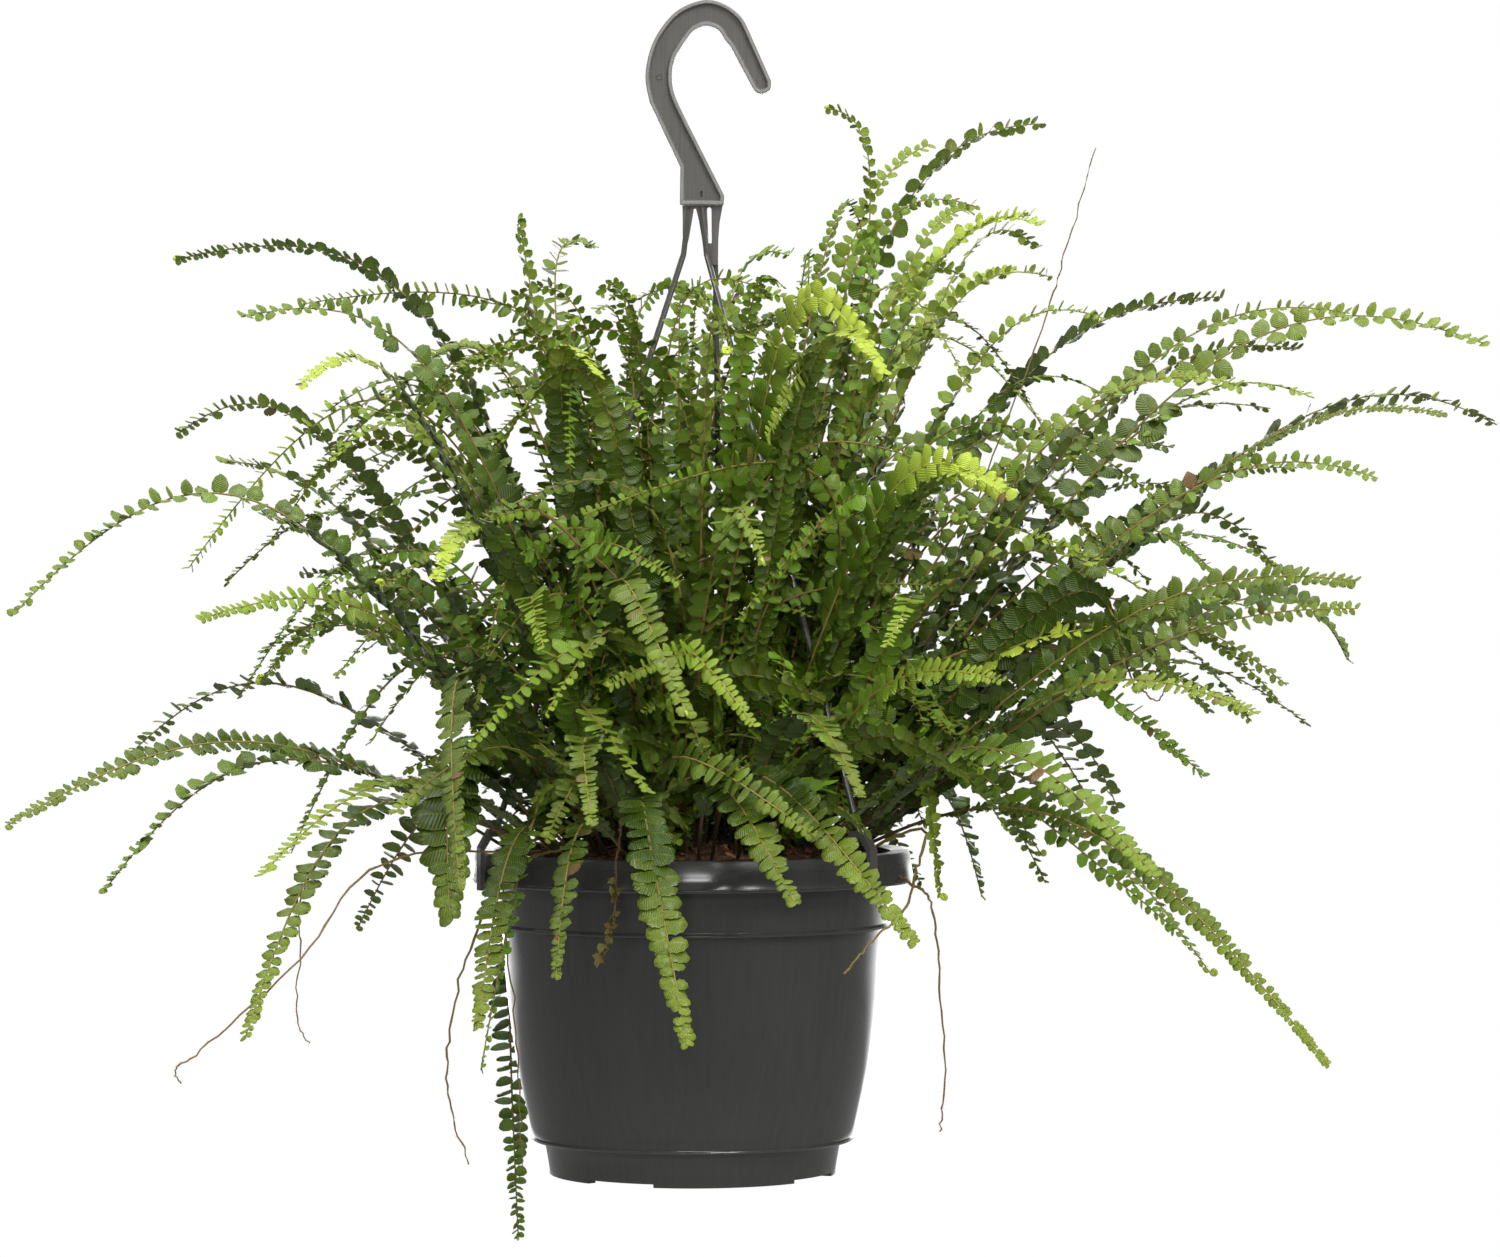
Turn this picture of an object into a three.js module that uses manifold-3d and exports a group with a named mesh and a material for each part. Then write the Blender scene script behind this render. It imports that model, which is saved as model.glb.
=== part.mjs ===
// A button fern in a round plastic hanging pot, with its three-strand hanger and hook.
// Millimetres, +Z up. The origin is the point inside the hook's crown that rests on whatever carries it.
import * as THREE from 'three';
import { mergeVertices } from 'three/addons/utils/BufferGeometryUtils.js';
import Module from 'manifold-3d';

const wasm = await Module();
wasm.setup();

// The pot hangs under the hook, a little to its left. Everything but the hook is placed from the
// crown, the point on the pot's axis that is level with the top of its rim.
const CROWN = new THREE.Vector3(-5.5, 0, -335);

// Pot
const RIM_RADIUS = 90;
const RIM_DEPTH = 12.6;
const RIM_FLARE = 1.7;
const WALL = 1.6;
const BAND_FOOT = 31;
const BODY_FOOT = 118;
const BASE = 130.4;
const FOOT_HEIGHT = 1.4;
const FOOT_COUNT = 4;
const FOOT_GAP_ANGLE = 30;
const FOOT_TURN = 14;
const BASE_RADIUS = 58.6;
const ROUND_SEGMENTS = 32;

// Soil
const SOIL_RADIUS = 79;
const SOIL_EDGE = -5;
const SOIL_MOUND = 9;
const ROOT_DEPTH = 12;
const CLEARANCE = 0.4;

// Hook
const HOOK_THICKNESS = 7;
const HOOK_FLANGE = 1.5;
const HOOK_RECESS = 2.3;
const HOOK_FOOT = -72.8;

// Hanger strands and the clips that grip the rim
const STRAND_RADIUS = 1.3;
const BAR_SIDES = 6;
const STRAND_GAP = 0.3;
const GUSSET_RADIUS = 2.3;
const GUSSET_LENGTH = 20;
const STRAND_SPLAY = 0.4;
const CLIP_WIDTH = 4.7;
const CLIP_THICKNESS = 1.8;
const CLIP_TOP = 10;
const CLIP_DEPTH = 14;
const CLIP_INNER_RADIUS = 77.4;
const CLIP_OUTER_RADIUS = RIM_RADIUS + 0.4 + CLIP_THICKNESS;
const CLIP_LIP = 5.4;
const CLIP_APEX_RADIUS = 85;
const CLIP_ARCH = 3.2;
const CLIP_SHOULDER = 1.5;
// Each strand: the direction of its clip round the rim, in degrees, and where it leaves the hook.
const STRANDS = [
  { name: 'strand_left', angle: 202, top: [-1.4, 0] },
  { name: 'strand_right', angle: 322, top: [3.9, -1] },
  { name: 'strand_back', angle: 82, top: [9.2, 1] },
];

// Fronds
const FULLNESS = 0.85;
const STIPE_RADIUS = 0.8;
const RIB_TIP = 0.5;
const STIPE_LENGTH = 34;
const STIPE_STEPS = 2;
const LEAFLET_PITCH = 20;
const LEAFLET_LENGTH = 10;
const LEAFLET_RAISE = 0.1;
const LEAFLET_SWEEP = 0.62;
const FLAT_CURVE = 0.12;
const FROND_CLEARANCE = 0.45;
const ROOT_INNER = 8;
const ROOT_OUTER = 60;
const ROOT_SPREAD = 1.4;

// How far a frond is moved from one try to the next until it is clear of the others
const MOST_TRIES = 600;
const TURNS_ABOUT = 13;
const TURN_ABOUT_STEP = 1.3;
const BEND_STEP = 5;
const ROOT_SHIFTS = 4;
const ROOT_SHIFT = 4;
const BLADE_TURNS = 5;
const BLADE_TURN_STEP = 12;

// Ratios whose multiples scatter evenly, one for each thing that varies
const GOLDEN_RATIO = 0.618034;
const SECOND_RATIO = 0.7549;
const THIRD_RATIO = 0.5698;

// The fronds that stand out singly, from the crown: where each bends over, where it ends, and how
// far its blade is turned about its rib, in degrees.
const FRONDS = [
  [[-100, 45, 270], [-220, 90, 245], 40],
  [[-100, -20, 235], [-180, -40, 215], -45],
  [[-115, -80, 225], [-150, -120, 185], -30],
  [[-160, 25, 210], [-215, 50, 170], 45],
  [[-180, -15, 195], [-275, -20, 95], -40],
  [[-150, 80, 160], [-205, 135, 160], 40],
  [[-135, -100, 130], [-160, -165, 135], -55],
  [[-175, 45, 95], [-240, 90, 35], 35],
  [[-175, -50, 70], [-265, -105, 15], -50],
  [[-180, 20, 55], [-245, 40, -20], -40],
  [[-135, -80, 45], [-170, -135, -65], -50],
  [[-110, -110, 50], [-160, -175, 0], -25],
  [[-105, 75, 35], [-145, 120, -40], 40],
  [[-105, -60, 70], [-100, -95, -20], -35],
  [[-85, 80, 45], [-75, 90, -170], 30],
  [[-70, -90, 40], [-80, -150, -60], -10],
  [[-45, -130, 35], [-50, -160, -40], 0],
  [[-25, -130, 60], [0, -170, -65], -15],
  [[5, -120, 55], [40, -180, -10], 10],
  [[15, -110, 65], [85, -190, -25], 25],
  [[40, -120, 85], [65, -200, 30], -10],
  [[-40, -120, 155], [0, -185, 60], 10],
  [[-80, -95, 165], [-95, -165, 110], -20],
  [[-100, -110, 125], [-85, -185, -5], 15],
  [[-45, -140, 75], [-35, -205, 20], -5],
  [[-65, -45, 230], [-35, -90, 190], -25],
  [[45, -80, 240], [75, -135, 190], 10],
  [[85, -90, 170], [120, -150, 145], 15],
  [[90, 20, 300], [55, 40, 305], 60],
  [[75, 75, 300], [150, 120, 305], -45],
  [[85, -25, 255], [135, -50, 255], 40],
  [[110, 50, 280], [145, 90, 250], -35],
  [[85, 100, 235], [140, 165, 245], 30],
  [[130, 60, 225], [225, 105, 230], -40],
  [[215, -15, 245], [320, -20, 205], 50],
  [[260, 50, 215], [340, 90, 175], -35],
  [[225, -50, 190], [295, -90, 175], 45],
  [[180, -90, 120], [255, -135, 110], 55],
  [[200, 25, 170], [240, 50, 115], -40],
  [[250, 80, 135], [280, 120, 75], 35],
  [[150, -105, 90], [215, -165, 60], 40],
  [[110, -115, 75], [175, -180, 0], 30],
  [[160, 50, 75], [190, 90, 10], -35],
  [[145, -50, 40], [250, -90, -80], 45],
  [[105, 110, 45], [125, 165, -30], 30],
  [[110, -20, 50], [140, -40, 0], 20],
  [[170, -50, 140], [180, -90, 75], -40],
  [[-75, 10, 275], [-70, 20, 255], 50],
  [[-75, 105, 270], [-45, 180, 255], 30],
  [[0, 90, 260], [30, 150, 250], -30],
];

// The rest grow in tufts, each from one crown in the soil: the long ones behind and the short ones in
// the heart of the plant.
const TUFTS = [
  { name: 'tuft_back_left', angle: 140, radius: 45, fan: 110, reach: [90, 210], rise: [40, 230], droop: 0.9 },
  { name: 'tuft_back_right', angle: 50, radius: 45, fan: 110, reach: [90, 210], rise: [40, 230], droop: 0.9 },
  { name: 'tuft_back', angle: 98, radius: 22, fan: 140, reach: [110, 200], rise: [120, 250], droop: 0.5 },
  { name: 'tuft_heart', angle: 250, radius: 20, fan: 320, reach: [40, 150], rise: [90, 240], droop: 0.4 },
];
const TUFT_FRONDS = 8;
const TUFT_CROWN_RADIUS = 4.5;
const TUFT_CROWN_HEIGHT = 5;
const TUFT_CROWN_TAPER = 0.7;
const TUFT_SWING = 50;
const TUFT_TURN = 80;
const TUFT_LEAFLET_SHARE = 0.9;

const UP = new THREE.Vector3(0, 0, 1);

const radians = THREE.MathUtils.degToRad;

// An even scatter from 0 to 1: each count lands away from those before it.
const scatter = (count, ratio = GOLDEN_RATIO) => (count * ratio) % 1;

const between = ([low, high], share) => low + (high - low) * share;

// A closed geometry as a manifold-3d solid.
function solidOf(geometry) {
  const bare = geometry.index ? geometry.toNonIndexed() : geometry.clone();
  for (const name of Object.keys(bare.attributes)) {
    if (name !== 'position') bare.deleteAttribute(name);
  }
  const merged = mergeVertices(bare, 1e-4);
  return new wasm.Manifold(new wasm.Mesh({
    numProp: 3,
    vertProperties: new Float32Array(merged.attributes.position.array),
    triVerts: new Uint32Array(merged.index.array),
  }));
}

// A manifold-3d solid as a geometry.
function geometryOf(solid) {
  const { vertProperties, triVerts } = solid.getMesh();
  const geometry = new THREE.BufferGeometry();
  geometry.setAttribute('position', new THREE.BufferAttribute(vertProperties, 3));
  geometry.setIndex(new THREE.BufferAttribute(triVerts, 1));
  geometry.computeVertexNormals();
  return geometry;
}

function material(color, roughness, metalness = 0) {
  return new THREE.MeshStandardMaterial({ color, roughness, metalness, flatShading: true });
}

const potPlastic = material('#2b2c2d', 0.35);
const hangerPlastic = material('#4a4c4b', 0.45);
const peat = material('#2c1d15', 1);
const leafGreen = material('#3f6321', 0.55);

function meshOf(name, geometry, paint) {
  const mesh = new THREE.Mesh(geometry, paint);
  mesh.name = name;
  return mesh;
}

// The pot's outer and inner profile, from the rim's inner edge round to the middle of the floor.
function potProfile() {
  const rimTop = RIM_RADIUS - RIM_FLARE;
  const outside = [
    [rimTop - WALL, 0], [rimTop, -0.8], [RIM_RADIUS, -RIM_DEPTH],
    [RIM_RADIUS - WALL, -RIM_DEPTH], [rimTop - WALL, -WALL - 0.4],
    [82.4, -WALL - 0.4], [81.6, -RIM_DEPTH - 2], [79.9, -BAND_FOOT], [77.9, -BAND_FOOT - 0.6],
    [75.6, -58], [73, -78], [69.3, -98], [64.7, -BODY_FOOT],
    [60.2, -BODY_FOOT - 0.6], [BASE_RADIUS, -BASE], [BASE_RADIUS - 0.3, -BASE - FOOT_HEIGHT],
    [BASE_RADIUS - 4, -BASE - FOOT_HEIGHT], [BASE_RADIUS - 4.2, -BASE], [0, -BASE],
  ];
  const inside = [
    [0, -BASE + WALL], [BASE_RADIUS - WALL, -BASE + WALL], [60, -BODY_FOOT + WALL],
    [71.3, -78], [76.2, -BAND_FOOT], [80.2, -RIM_DEPTH], [80.8, 0],
  ];
  return [...outside, ...inside];
}

// The gaps that divide the ring under the pot into feet.
function footGaps() {
  const gaps = [];
  for (let i = 0; i < FOOT_COUNT; i++) {
    const wide = 2 * BASE_RADIUS * Math.sin(radians(FOOT_GAP_ANGLE / 2));
    const block = new THREE.BoxGeometry(14, wide, FOOT_HEIGHT * 2);
    block.translate(BASE_RADIUS - 2, 0, -BASE - FOOT_HEIGHT - 0.02);
    block.rotateZ(radians(FOOT_TURN + (360 / FOOT_COUNT) * (i + 0.5)));
    gaps.push(block);
  }
  return gaps;
}

function pot() {
  const closed = [...potProfile(), potProfile()[0]].map(([r, z]) => new THREE.Vector2(r, z));
  const lathe = new THREE.LatheGeometry(closed.reverse(), ROUND_SEGMENTS);
  let solid = solidOf(lathe.rotateX(Math.PI / 2));
  for (const gap of footGaps()) solid = solid.subtract(solidOf(gap));
  return solid;
}

const soilTop = (radius) => SOIL_EDGE + SOIL_MOUND * (1 - (radius / SOIL_RADIUS) ** 2);

function soil() {
  const profile = [
    [0, -BASE + WALL + 0.3], [BASE_RADIUS - WALL - 0.6, -BASE + WALL + 0.3], [70.2, -78],
    [75.6, -BAND_FOOT], [SOIL_RADIUS, SOIL_EDGE], [52, soilTop(52)], [0, soilTop(0)],
  ];
  const lathe = new THREE.LatheGeometry(profile.map(([r, z]) => new THREE.Vector2(r, z)), ROUND_SEGMENTS);
  return solidOf(lathe.rotateX(Math.PI / 2));
}

// The hook's outline in its own plane: out along the back, over the crown and back inside.
function hookOutline() {
  const outline = new THREE.Shape();
  const curveThrough = (points) => outline.splineThru(points.map(([x, z]) => new THREE.Vector2(x, z)));
  outline.moveTo(7.2, HOOK_FOOT);
  outline.lineTo(7.4, -69);
  outline.lineTo(-7.4, -39.8);
  curveThrough([[-12.8, -28], [-13.9, -19.6], [-12.6, -13], [-10.1, -8.6]]);
  curveThrough([[-7.8, -5.2], [-4.7, -1.7], [0, 0], [4.9, -1.7], [7.6, -5.6]]);
  outline.lineTo(10.1, -8.6);
  outline.lineTo(18.8, -25);
  curveThrough([[20.4, -27], [22.8, -27.6], [26, -26], [26.4, -22.4]]);
  outline.lineTo(17.6, -2.6);
  curveThrough([
    [14.2, 3.6], [8, 8.4], [0, 10.4], [-9.4, 7.4], [-16, 1.8], [-22, -8], [-24.6, -20.4], [-22.9, -31.1],
  ]);
  outline.lineTo(-10.4, -57.4);
  outline.lineTo(-10.6, HOOK_FOOT);
  outline.closePath();
  return outline;
}

// The outline drawn in by a distance, for the recess in each face of the hook.
function drawnIn(points, distance) {
  return points.map((point, i) => {
    const before = points[(i + points.length - 1) % points.length];
    const after = points[(i + 1) % points.length];
    const along = after.clone().sub(before).normalize();
    return new THREE.Vector2(point.x - along.y * distance, point.y + along.x * distance);
  });
}

function hook() {
  const points = hookOutline().getPoints(2).slice(0, -1);
  const outline = new THREE.Shape(points);
  const slab = new THREE.ExtrudeGeometry(outline, { depth: HOOK_THICKNESS, bevelEnabled: false });
  let solid = solidOf(slab.translate(0, 0, -HOOK_THICKNESS / 2).rotateX(Math.PI / 2));
  const inward = THREE.ShapeUtils.isClockWise(points) ? -HOOK_FLANGE : HOOK_FLANGE;
  const recess = new THREE.Shape(drawnIn(points, inward));
  for (const side of [-1, 1]) {
    const cut = new THREE.ExtrudeGeometry(recess, { depth: HOOK_RECESS, bevelEnabled: false });
    const start = side > 0 ? HOOK_THICKNESS / 2 - HOOK_RECESS + 0.01 : -HOOK_THICKNESS / 2 - 0.01;
    solid = solid.subtract(solidOf(cut.translate(0, 0, start).rotateX(Math.PI / 2)));
  }
  return solid;
}

// The clip is an arch over the rim with a lip under its outer edge, drawn by radius and height.
function clip(angle) {
  const inner = CLIP_INNER_RADIUS;
  const outer = CLIP_OUTER_RADIUS;
  const thick = CLIP_THICKNESS;
  const lipTop = -RIM_DEPTH - 0.3;
  const outline = [
    [inner, -CLIP_DEPTH], [inner + thick, -CLIP_DEPTH], [inner + thick, CLIP_SHOULDER],
    [CLIP_APEX_RADIUS - 2, CLIP_TOP - CLIP_ARCH], [CLIP_APEX_RADIUS + 2, CLIP_TOP - CLIP_ARCH],
    [outer - thick, CLIP_SHOULDER], [outer - thick, lipTop], [outer - CLIP_LIP, lipTop],
    [outer - CLIP_LIP, lipTop - thick], [outer, lipTop - thick], [outer, CLIP_SHOULDER + 1],
    [CLIP_APEX_RADIUS + 3, CLIP_TOP], [CLIP_APEX_RADIUS - 3, CLIP_TOP], [inner, CLIP_SHOULDER + 1],
  ];
  const shape = new THREE.Shape(outline.map(([r, z]) => new THREE.Vector2(r, z)));
  const arch = new THREE.ExtrudeGeometry(shape, { depth: CLIP_WIDTH, bevelEnabled: false });
  return solidOf(arch.translate(0, 0, -CLIP_WIDTH / 2).rotateX(Math.PI / 2).rotateZ(radians(angle)));
}

// The slot in the soil's edge that a clip's inner leg stands in.
function clipPocket({ angle }) {
  const deep = CLIP_DEPTH + CLEARANCE;
  const block = new THREE.BoxGeometry(8, CLIP_WIDTH + 2 * CLEARANCE, deep + CLIP_TOP);
  block.translate(CLIP_INNER_RADIUS - CLEARANCE + 4, 0, (CLIP_TOP - deep) / 2);
  return solidOf(block.rotateZ(radians(angle)));
}

// A straight round bar from one point to another, thicker at its start if the radii differ.
function bar(from, to, startRadius, endRadius, sides = BAR_SIDES) {
  const along = to.clone().sub(from);
  const cylinder = new THREE.CylinderGeometry(endRadius, startRadius, along.length(), sides);
  const upright = new THREE.Vector3(0, 1, 0);
  const turn = new THREE.Quaternion().setFromUnitVectors(upright, along.clone().normalize());
  cylinder.applyQuaternion(turn);
  cylinder.translate(...from.clone().add(to).multiplyScalar(0.5).toArray());
  return solidOf(cylinder);
}

// A strand drops steeply from the hook through its thick root, then runs straight to the top of its clip.
function strand({ angle, top }) {
  const start = new THREE.Vector3(top[0], top[1], HOOK_FOOT - CROWN.z - STRAND_GAP);
  const end = new THREE.Vector3(CLIP_APEX_RADIUS, 0, CLIP_TOP - 1).applyAxisAngle(UP, radians(angle));
  const knee = start.clone().lerp(end, STRAND_SPLAY * (GUSSET_LENGTH / start.distanceTo(end)));
  knee.z = start.z - GUSSET_LENGTH;
  const above = start.clone().lerp(knee, -0.2);
  const ceiling = new THREE.BoxGeometry(20, 20, 20).translate(top[0], top[1], start.z + 10);
  return bar(above, knee, GUSSET_RADIUS, STRAND_RADIUS)
    .add(bar(knee.clone().lerp(end, -0.004), end, STRAND_RADIUS, STRAND_RADIUS))
    .subtract(solidOf(ceiling))
    .add(clip(angle));
}

// The curve of a frond, which rises from its root in the soil and arches over at the bend.
function frondCurve(bend, tip, root) {
  const leaving = root.clone().lerp(bend, FULLNESS);
  const arriving = tip.clone().lerp(bend, FULLNESS);
  return new THREE.CubicBezierCurve3(root, leaving, arriving, tip);
}

// Low fronds root at the edge of the soil and upright ones near its middle.
function rootOf(bend, inward) {
  const reach = Math.hypot(bend.x, bend.y);
  const lowness = reach / (reach + Math.max(bend.z, 0));
  const spread = ROOT_INNER + (ROOT_OUTER - ROOT_INNER) * lowness * ROOT_SPREAD;
  const radius = THREE.MathUtils.clamp(spread - inward, ROOT_INNER, ROOT_OUTER);
  const share = radius / reach;
  return new THREE.Vector3(bend.x * share, bend.y * share, soilTop(radius) - ROOT_DEPTH);
}

// The rib's place and directions at a distance along the curve: forward, across and up.
function ribFrame(curve, plane, turn, share) {
  const point = curve.getPointAt(share);
  const forward = curve.getTangentAt(share);
  const across = plane.clone().applyAxisAngle(forward, turn * THREE.MathUtils.smoothstep(share, 0.1, 0.6));
  const up = new THREE.Vector3().crossVectors(across, forward).normalize();
  return { point, forward, across: across.normalize(), up };
}

// The direction across a frond's blade before it is turned: square to the plane that the curve lies in,
// or level where the curve is too straight to have one.
function acrossPlane(curve) {
  const { v0: root, v3: tip } = curve;
  const bend = curve.v1.clone().lerp(root, 1 - 1 / FULLNESS);
  const rise = bend.clone().sub(root);
  const run = tip.clone().sub(root);
  const square = new THREE.Vector3().crossVectors(run, rise);
  if (square.length() < FLAT_CURVE * rise.length() * run.length()) {
    square.set(rise.y, -rise.x, 0);
  }
  return square.normalize();
}

// How long a frond's leaflets are at a share of its leafy part.
function leafletLength(share, longest) {
  const grown = 0.45 + 0.55 * THREE.MathUtils.smoothstep(share, 0, 0.35);
  return longest * grown * (1 - 0.75 * THREE.MathUtils.smoothstep(share, 0.4, 1.05));
}

// A frond as one closed skin: a four-sided rib, with pointed leaflets on either side cut right down to it.
// They stand alternately, so the rib's right side is divided half a step beyond its left.
function frondGeometry({ curve, turn, longest }) {
  const plane = acrossPlane(curve);
  const length = curve.getLength();
  const bare = (ROOT_DEPTH + STIPE_LENGTH) / length;
  const pairs = Math.max(4, Math.round((length * (1 - bare)) / LEAFLET_PITCH));
  const last = STIPE_STEPS + pairs;
  const shareAt = (step) => (step < STIPE_STEPS
    ? (bare * step) / STIPE_STEPS
    : Math.min(1, bare + ((1 - bare) * (step - STIPE_STEPS)) / pairs));

  const vertices = [];
  const faces = [];
  const quad = (a, b, c, d) => faces.push([a, b, c], [a, c, d]);
  const place = (share, side, height) => {
    const { point, across, up } = ribFrame(curve, plane, turn, share);
    return vertices.push(point.addScaledVector(across, side).addScaledVector(up, height)) - 1;
  };

  // One side of the rib, with the step at each of its stations and its top and bottom corners there.
  const edge = (side, lag) => Array.from({ length: last + 1 }, (_, i) => {
    const step = i > STIPE_STEPS && i < last ? i + lag : i;
    const half = THREE.MathUtils.lerp(STIPE_RADIUS, RIB_TIP, shareAt(step));
    const top = place(shareAt(step), side * half, half);
    const low = place(shareAt(step), side * half, -half);
    return { step, top, low };
  });
  const left = edge(-1, 0);
  const right = edge(1, 0.5);
  quad(left[0].top, left[0].low, right[0].low, right[0].top);
  quad(left[last].top, right[last].top, right[last].low, left[last].low);

  for (let i = 0; i < last; i++) {
    quad(right[i].top, right[i + 1].top, left[i + 1].top, left[i].top);
    quad(left[i + 1].low, right[i + 1].low, right[i].low, left[i].low);
    for (const [side, from, to] of [[-1, left[i], left[i + 1]], [1, right[i + 1], right[i]]]) {
      if (i < STIPE_STEPS) {
        quad(from.top, to.top, to.low, from.low);
        continue;
      }
      const near = Math.min(from.step, to.step);
      const share = shareAt(THREE.MathUtils.lerp(near, Math.max(from.step, to.step), LEAFLET_SWEEP));
      const out = leafletLength((near - STIPE_STEPS) / pairs, longest);
      const point = place(share, side * out, out * LEAFLET_RAISE);
      faces.push([from.top, to.top, point], [to.low, from.low, point]);
      faces.push([from.low, from.top, point], [to.top, to.low, point]);
    }
  }

  const geometry = new THREE.BufferGeometry().setFromPoints(vertices);
  geometry.setIndex(faces.flat());
  return geometry;
}

// The crown of a tuft, half sunk in the soil, and the hole it sits in.
function crownBar({ angle, radius }, clearance) {
  const middle = new THREE.Vector3(radius, 0, soilTop(radius)).applyAxisAngle(UP, radians(angle));
  const low = middle.clone().setZ(middle.z - ROOT_DEPTH - clearance);
  const high = middle.clone().setZ(middle.z + TUFT_CROWN_HEIGHT);
  const topRadius = clearance ? TUFT_CROWN_RADIUS + clearance : TUFT_CROWN_RADIUS * TUFT_CROWN_TAPER;
  return bar(low, high, TUFT_CROWN_RADIUS + clearance, topRadius);
}

const tuftCrown = (tuft) => crownBar(tuft, 0);
const tuftHole = (tuft) => crownBar(tuft, CLEARANCE);

// A plain hole that a stipe stands in.
function stipeHole({ curve }) {
  const deep = curve.getPointAt(0);
  const high = curve.getPointAt((ROOT_DEPTH * 1.6) / curve.getLength());
  const along = high.clone().sub(deep).normalize();
  const from = deep.clone().addScaledVector(along, -CLEARANCE);
  const radius = STIPE_RADIUS * 2 + CLEARANCE;
  return bar(from, high.addScaledVector(along, 6), radius, radius, 4);
}

// Tries run 0, +1, -1, +2, -2 and so on.
const zigzag = (count) => (count % 2 ? (count + 1) / 2 : -count / 2);

// A frond of the table at one try: turned a little about the pot's axis, bent higher, rooted further in.
function singleFrond([bendAt, tipAt, roll], index, attempt) {
  const turnAbout = radians(TURN_ABOUT_STEP * zigzag(attempt % TURNS_ABOUT));
  const outer = Math.floor(attempt / TURNS_ABOUT);
  const bend = new THREE.Vector3(...bendAt).applyAxisAngle(UP, turnAbout);
  const tip = new THREE.Vector3(...tipAt).applyAxisAngle(UP, turnAbout);
  bend.z += BEND_STEP * zigzag(outer);
  const root = rootOf(bend, 5 * scatter(index) + ROOT_SHIFT * (outer % ROOT_SHIFTS));
  const turn = radians(roll + BLADE_TURN_STEP * zigzag(outer % BLADE_TURNS));
  const longest = LEAFLET_LENGTH * (0.82 + 0.3 * scatter(index, SECOND_RATIO)) * (1 - 0.02 * outer);
  return { curve: frondCurve(bend, tip, root), turn, longest };
}

// A frond of a tuft at one try, each try with another heading, reach and rise.
function tuftFrond(tuft, tuftIndex, index, attempt) {
  const count = tuftIndex * TUFT_FRONDS + index;
  const fan = tuft.fan * ((index + 0.5) / TUFT_FRONDS - 0.5);
  const angle = radians(tuft.angle + fan + TUFT_SWING * (scatter(attempt) - 0.5));
  const reach = between(tuft.reach, scatter(attempt + count, SECOND_RATIO));
  const rise = between(tuft.rise, scatter(attempt + count, THIRD_RATIO));
  const crown = new THREE.Vector3(tuft.radius, 0, 0).applyAxisAngle(UP, radians(tuft.angle));
  const heading = new THREE.Vector3(Math.cos(angle), Math.sin(angle), 0);
  const root = crown.clone().addScaledVector(heading, 1.5);
  root.z = soilTop(tuft.radius) + 1.2;
  const bend = crown.clone().addScaledVector(heading, reach * 0.55);
  bend.z = rise;
  const tip = crown.clone().addScaledVector(heading, reach);
  tip.z = rise - reach * tuft.droop * (0.3 + 0.7 * scatter(count));
  const turn = radians(TUFT_TURN * (scatter(count, SECOND_RATIO) - 0.5));
  return { curve: frondCurve(bend, tip, root), turn, longest: LEAFLET_LENGTH * TUFT_LEAFLET_SHARE };
}

// The first try that stays clear of everything placed so far, apart from the crown it grows from.
// What would cross another frond is bent clear.
function settle(name, placed, build, ownCrown) {
  for (let attempt = 0; attempt < MOST_TRIES; attempt++) {
    const frond = build(attempt);
    const solid = solidOf(frondGeometry(frond));
    const clear = placed.every((other) => other === ownCrown
      || solid.minGap(other, FROND_CLEARANCE) >= FROND_CLEARANCE);
    if (clear) return { ...frond, solid };
  }
  throw new Error(`${name} finds no clear place`);
}

const planter = new THREE.Group();
planter.position.copy(CROWN);

const potSolid = pot();
planter.add(meshOf('pot', geometryOf(potSolid), potPlastic));

const strands = STRANDS.map(strand);
STRANDS.forEach(({ name }, i) => planter.add(meshOf(name, geometryOf(strands[i]), hangerPlastic)));

const crowns = TUFTS.map(tuftCrown);
const placed = [potSolid, ...strands, hook().translate(-CROWN.x, -CROWN.y, -CROWN.z), ...crowns];
const holes = [...STRANDS.map(clipPocket), ...TUFTS.map(tuftHole)];

FRONDS.forEach((row, index) => {
  const name = `frond_${String(index + 1).padStart(2, '0')}`;
  const frond = settle(name, placed, (attempt) => singleFrond(row, index, attempt));
  placed.push(frond.solid);
  holes.push(stipeHole(frond));
  planter.add(meshOf(name, geometryOf(frond.solid), leafGreen));
});

TUFTS.forEach((tuft, tuftIndex) => {
  const grown = [];
  for (let index = 0; index < TUFT_FRONDS; index++) {
    const build = (attempt) => tuftFrond(tuft, tuftIndex, index, attempt);
    grown.push(settle(`${tuft.name} ${index}`, placed, build, crowns[tuftIndex]).solid);
  }
  const solid = grown.reduce((whole, one) => whole.add(one), crowns[tuftIndex]);
  placed.push(...grown);
  planter.add(meshOf(tuft.name, geometryOf(solid), leafGreen));
});

let soilSolid = soil();
for (const cut of holes) soilSolid = soilSolid.subtract(cut);
planter.add(meshOf('soil', geometryOf(soilSolid), peat));

const fern = new THREE.Group();
fern.add(planter);
fern.add(meshOf('hook', geometryOf(hook()), hangerPlastic));

export default fern;
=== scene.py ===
import math

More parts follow.
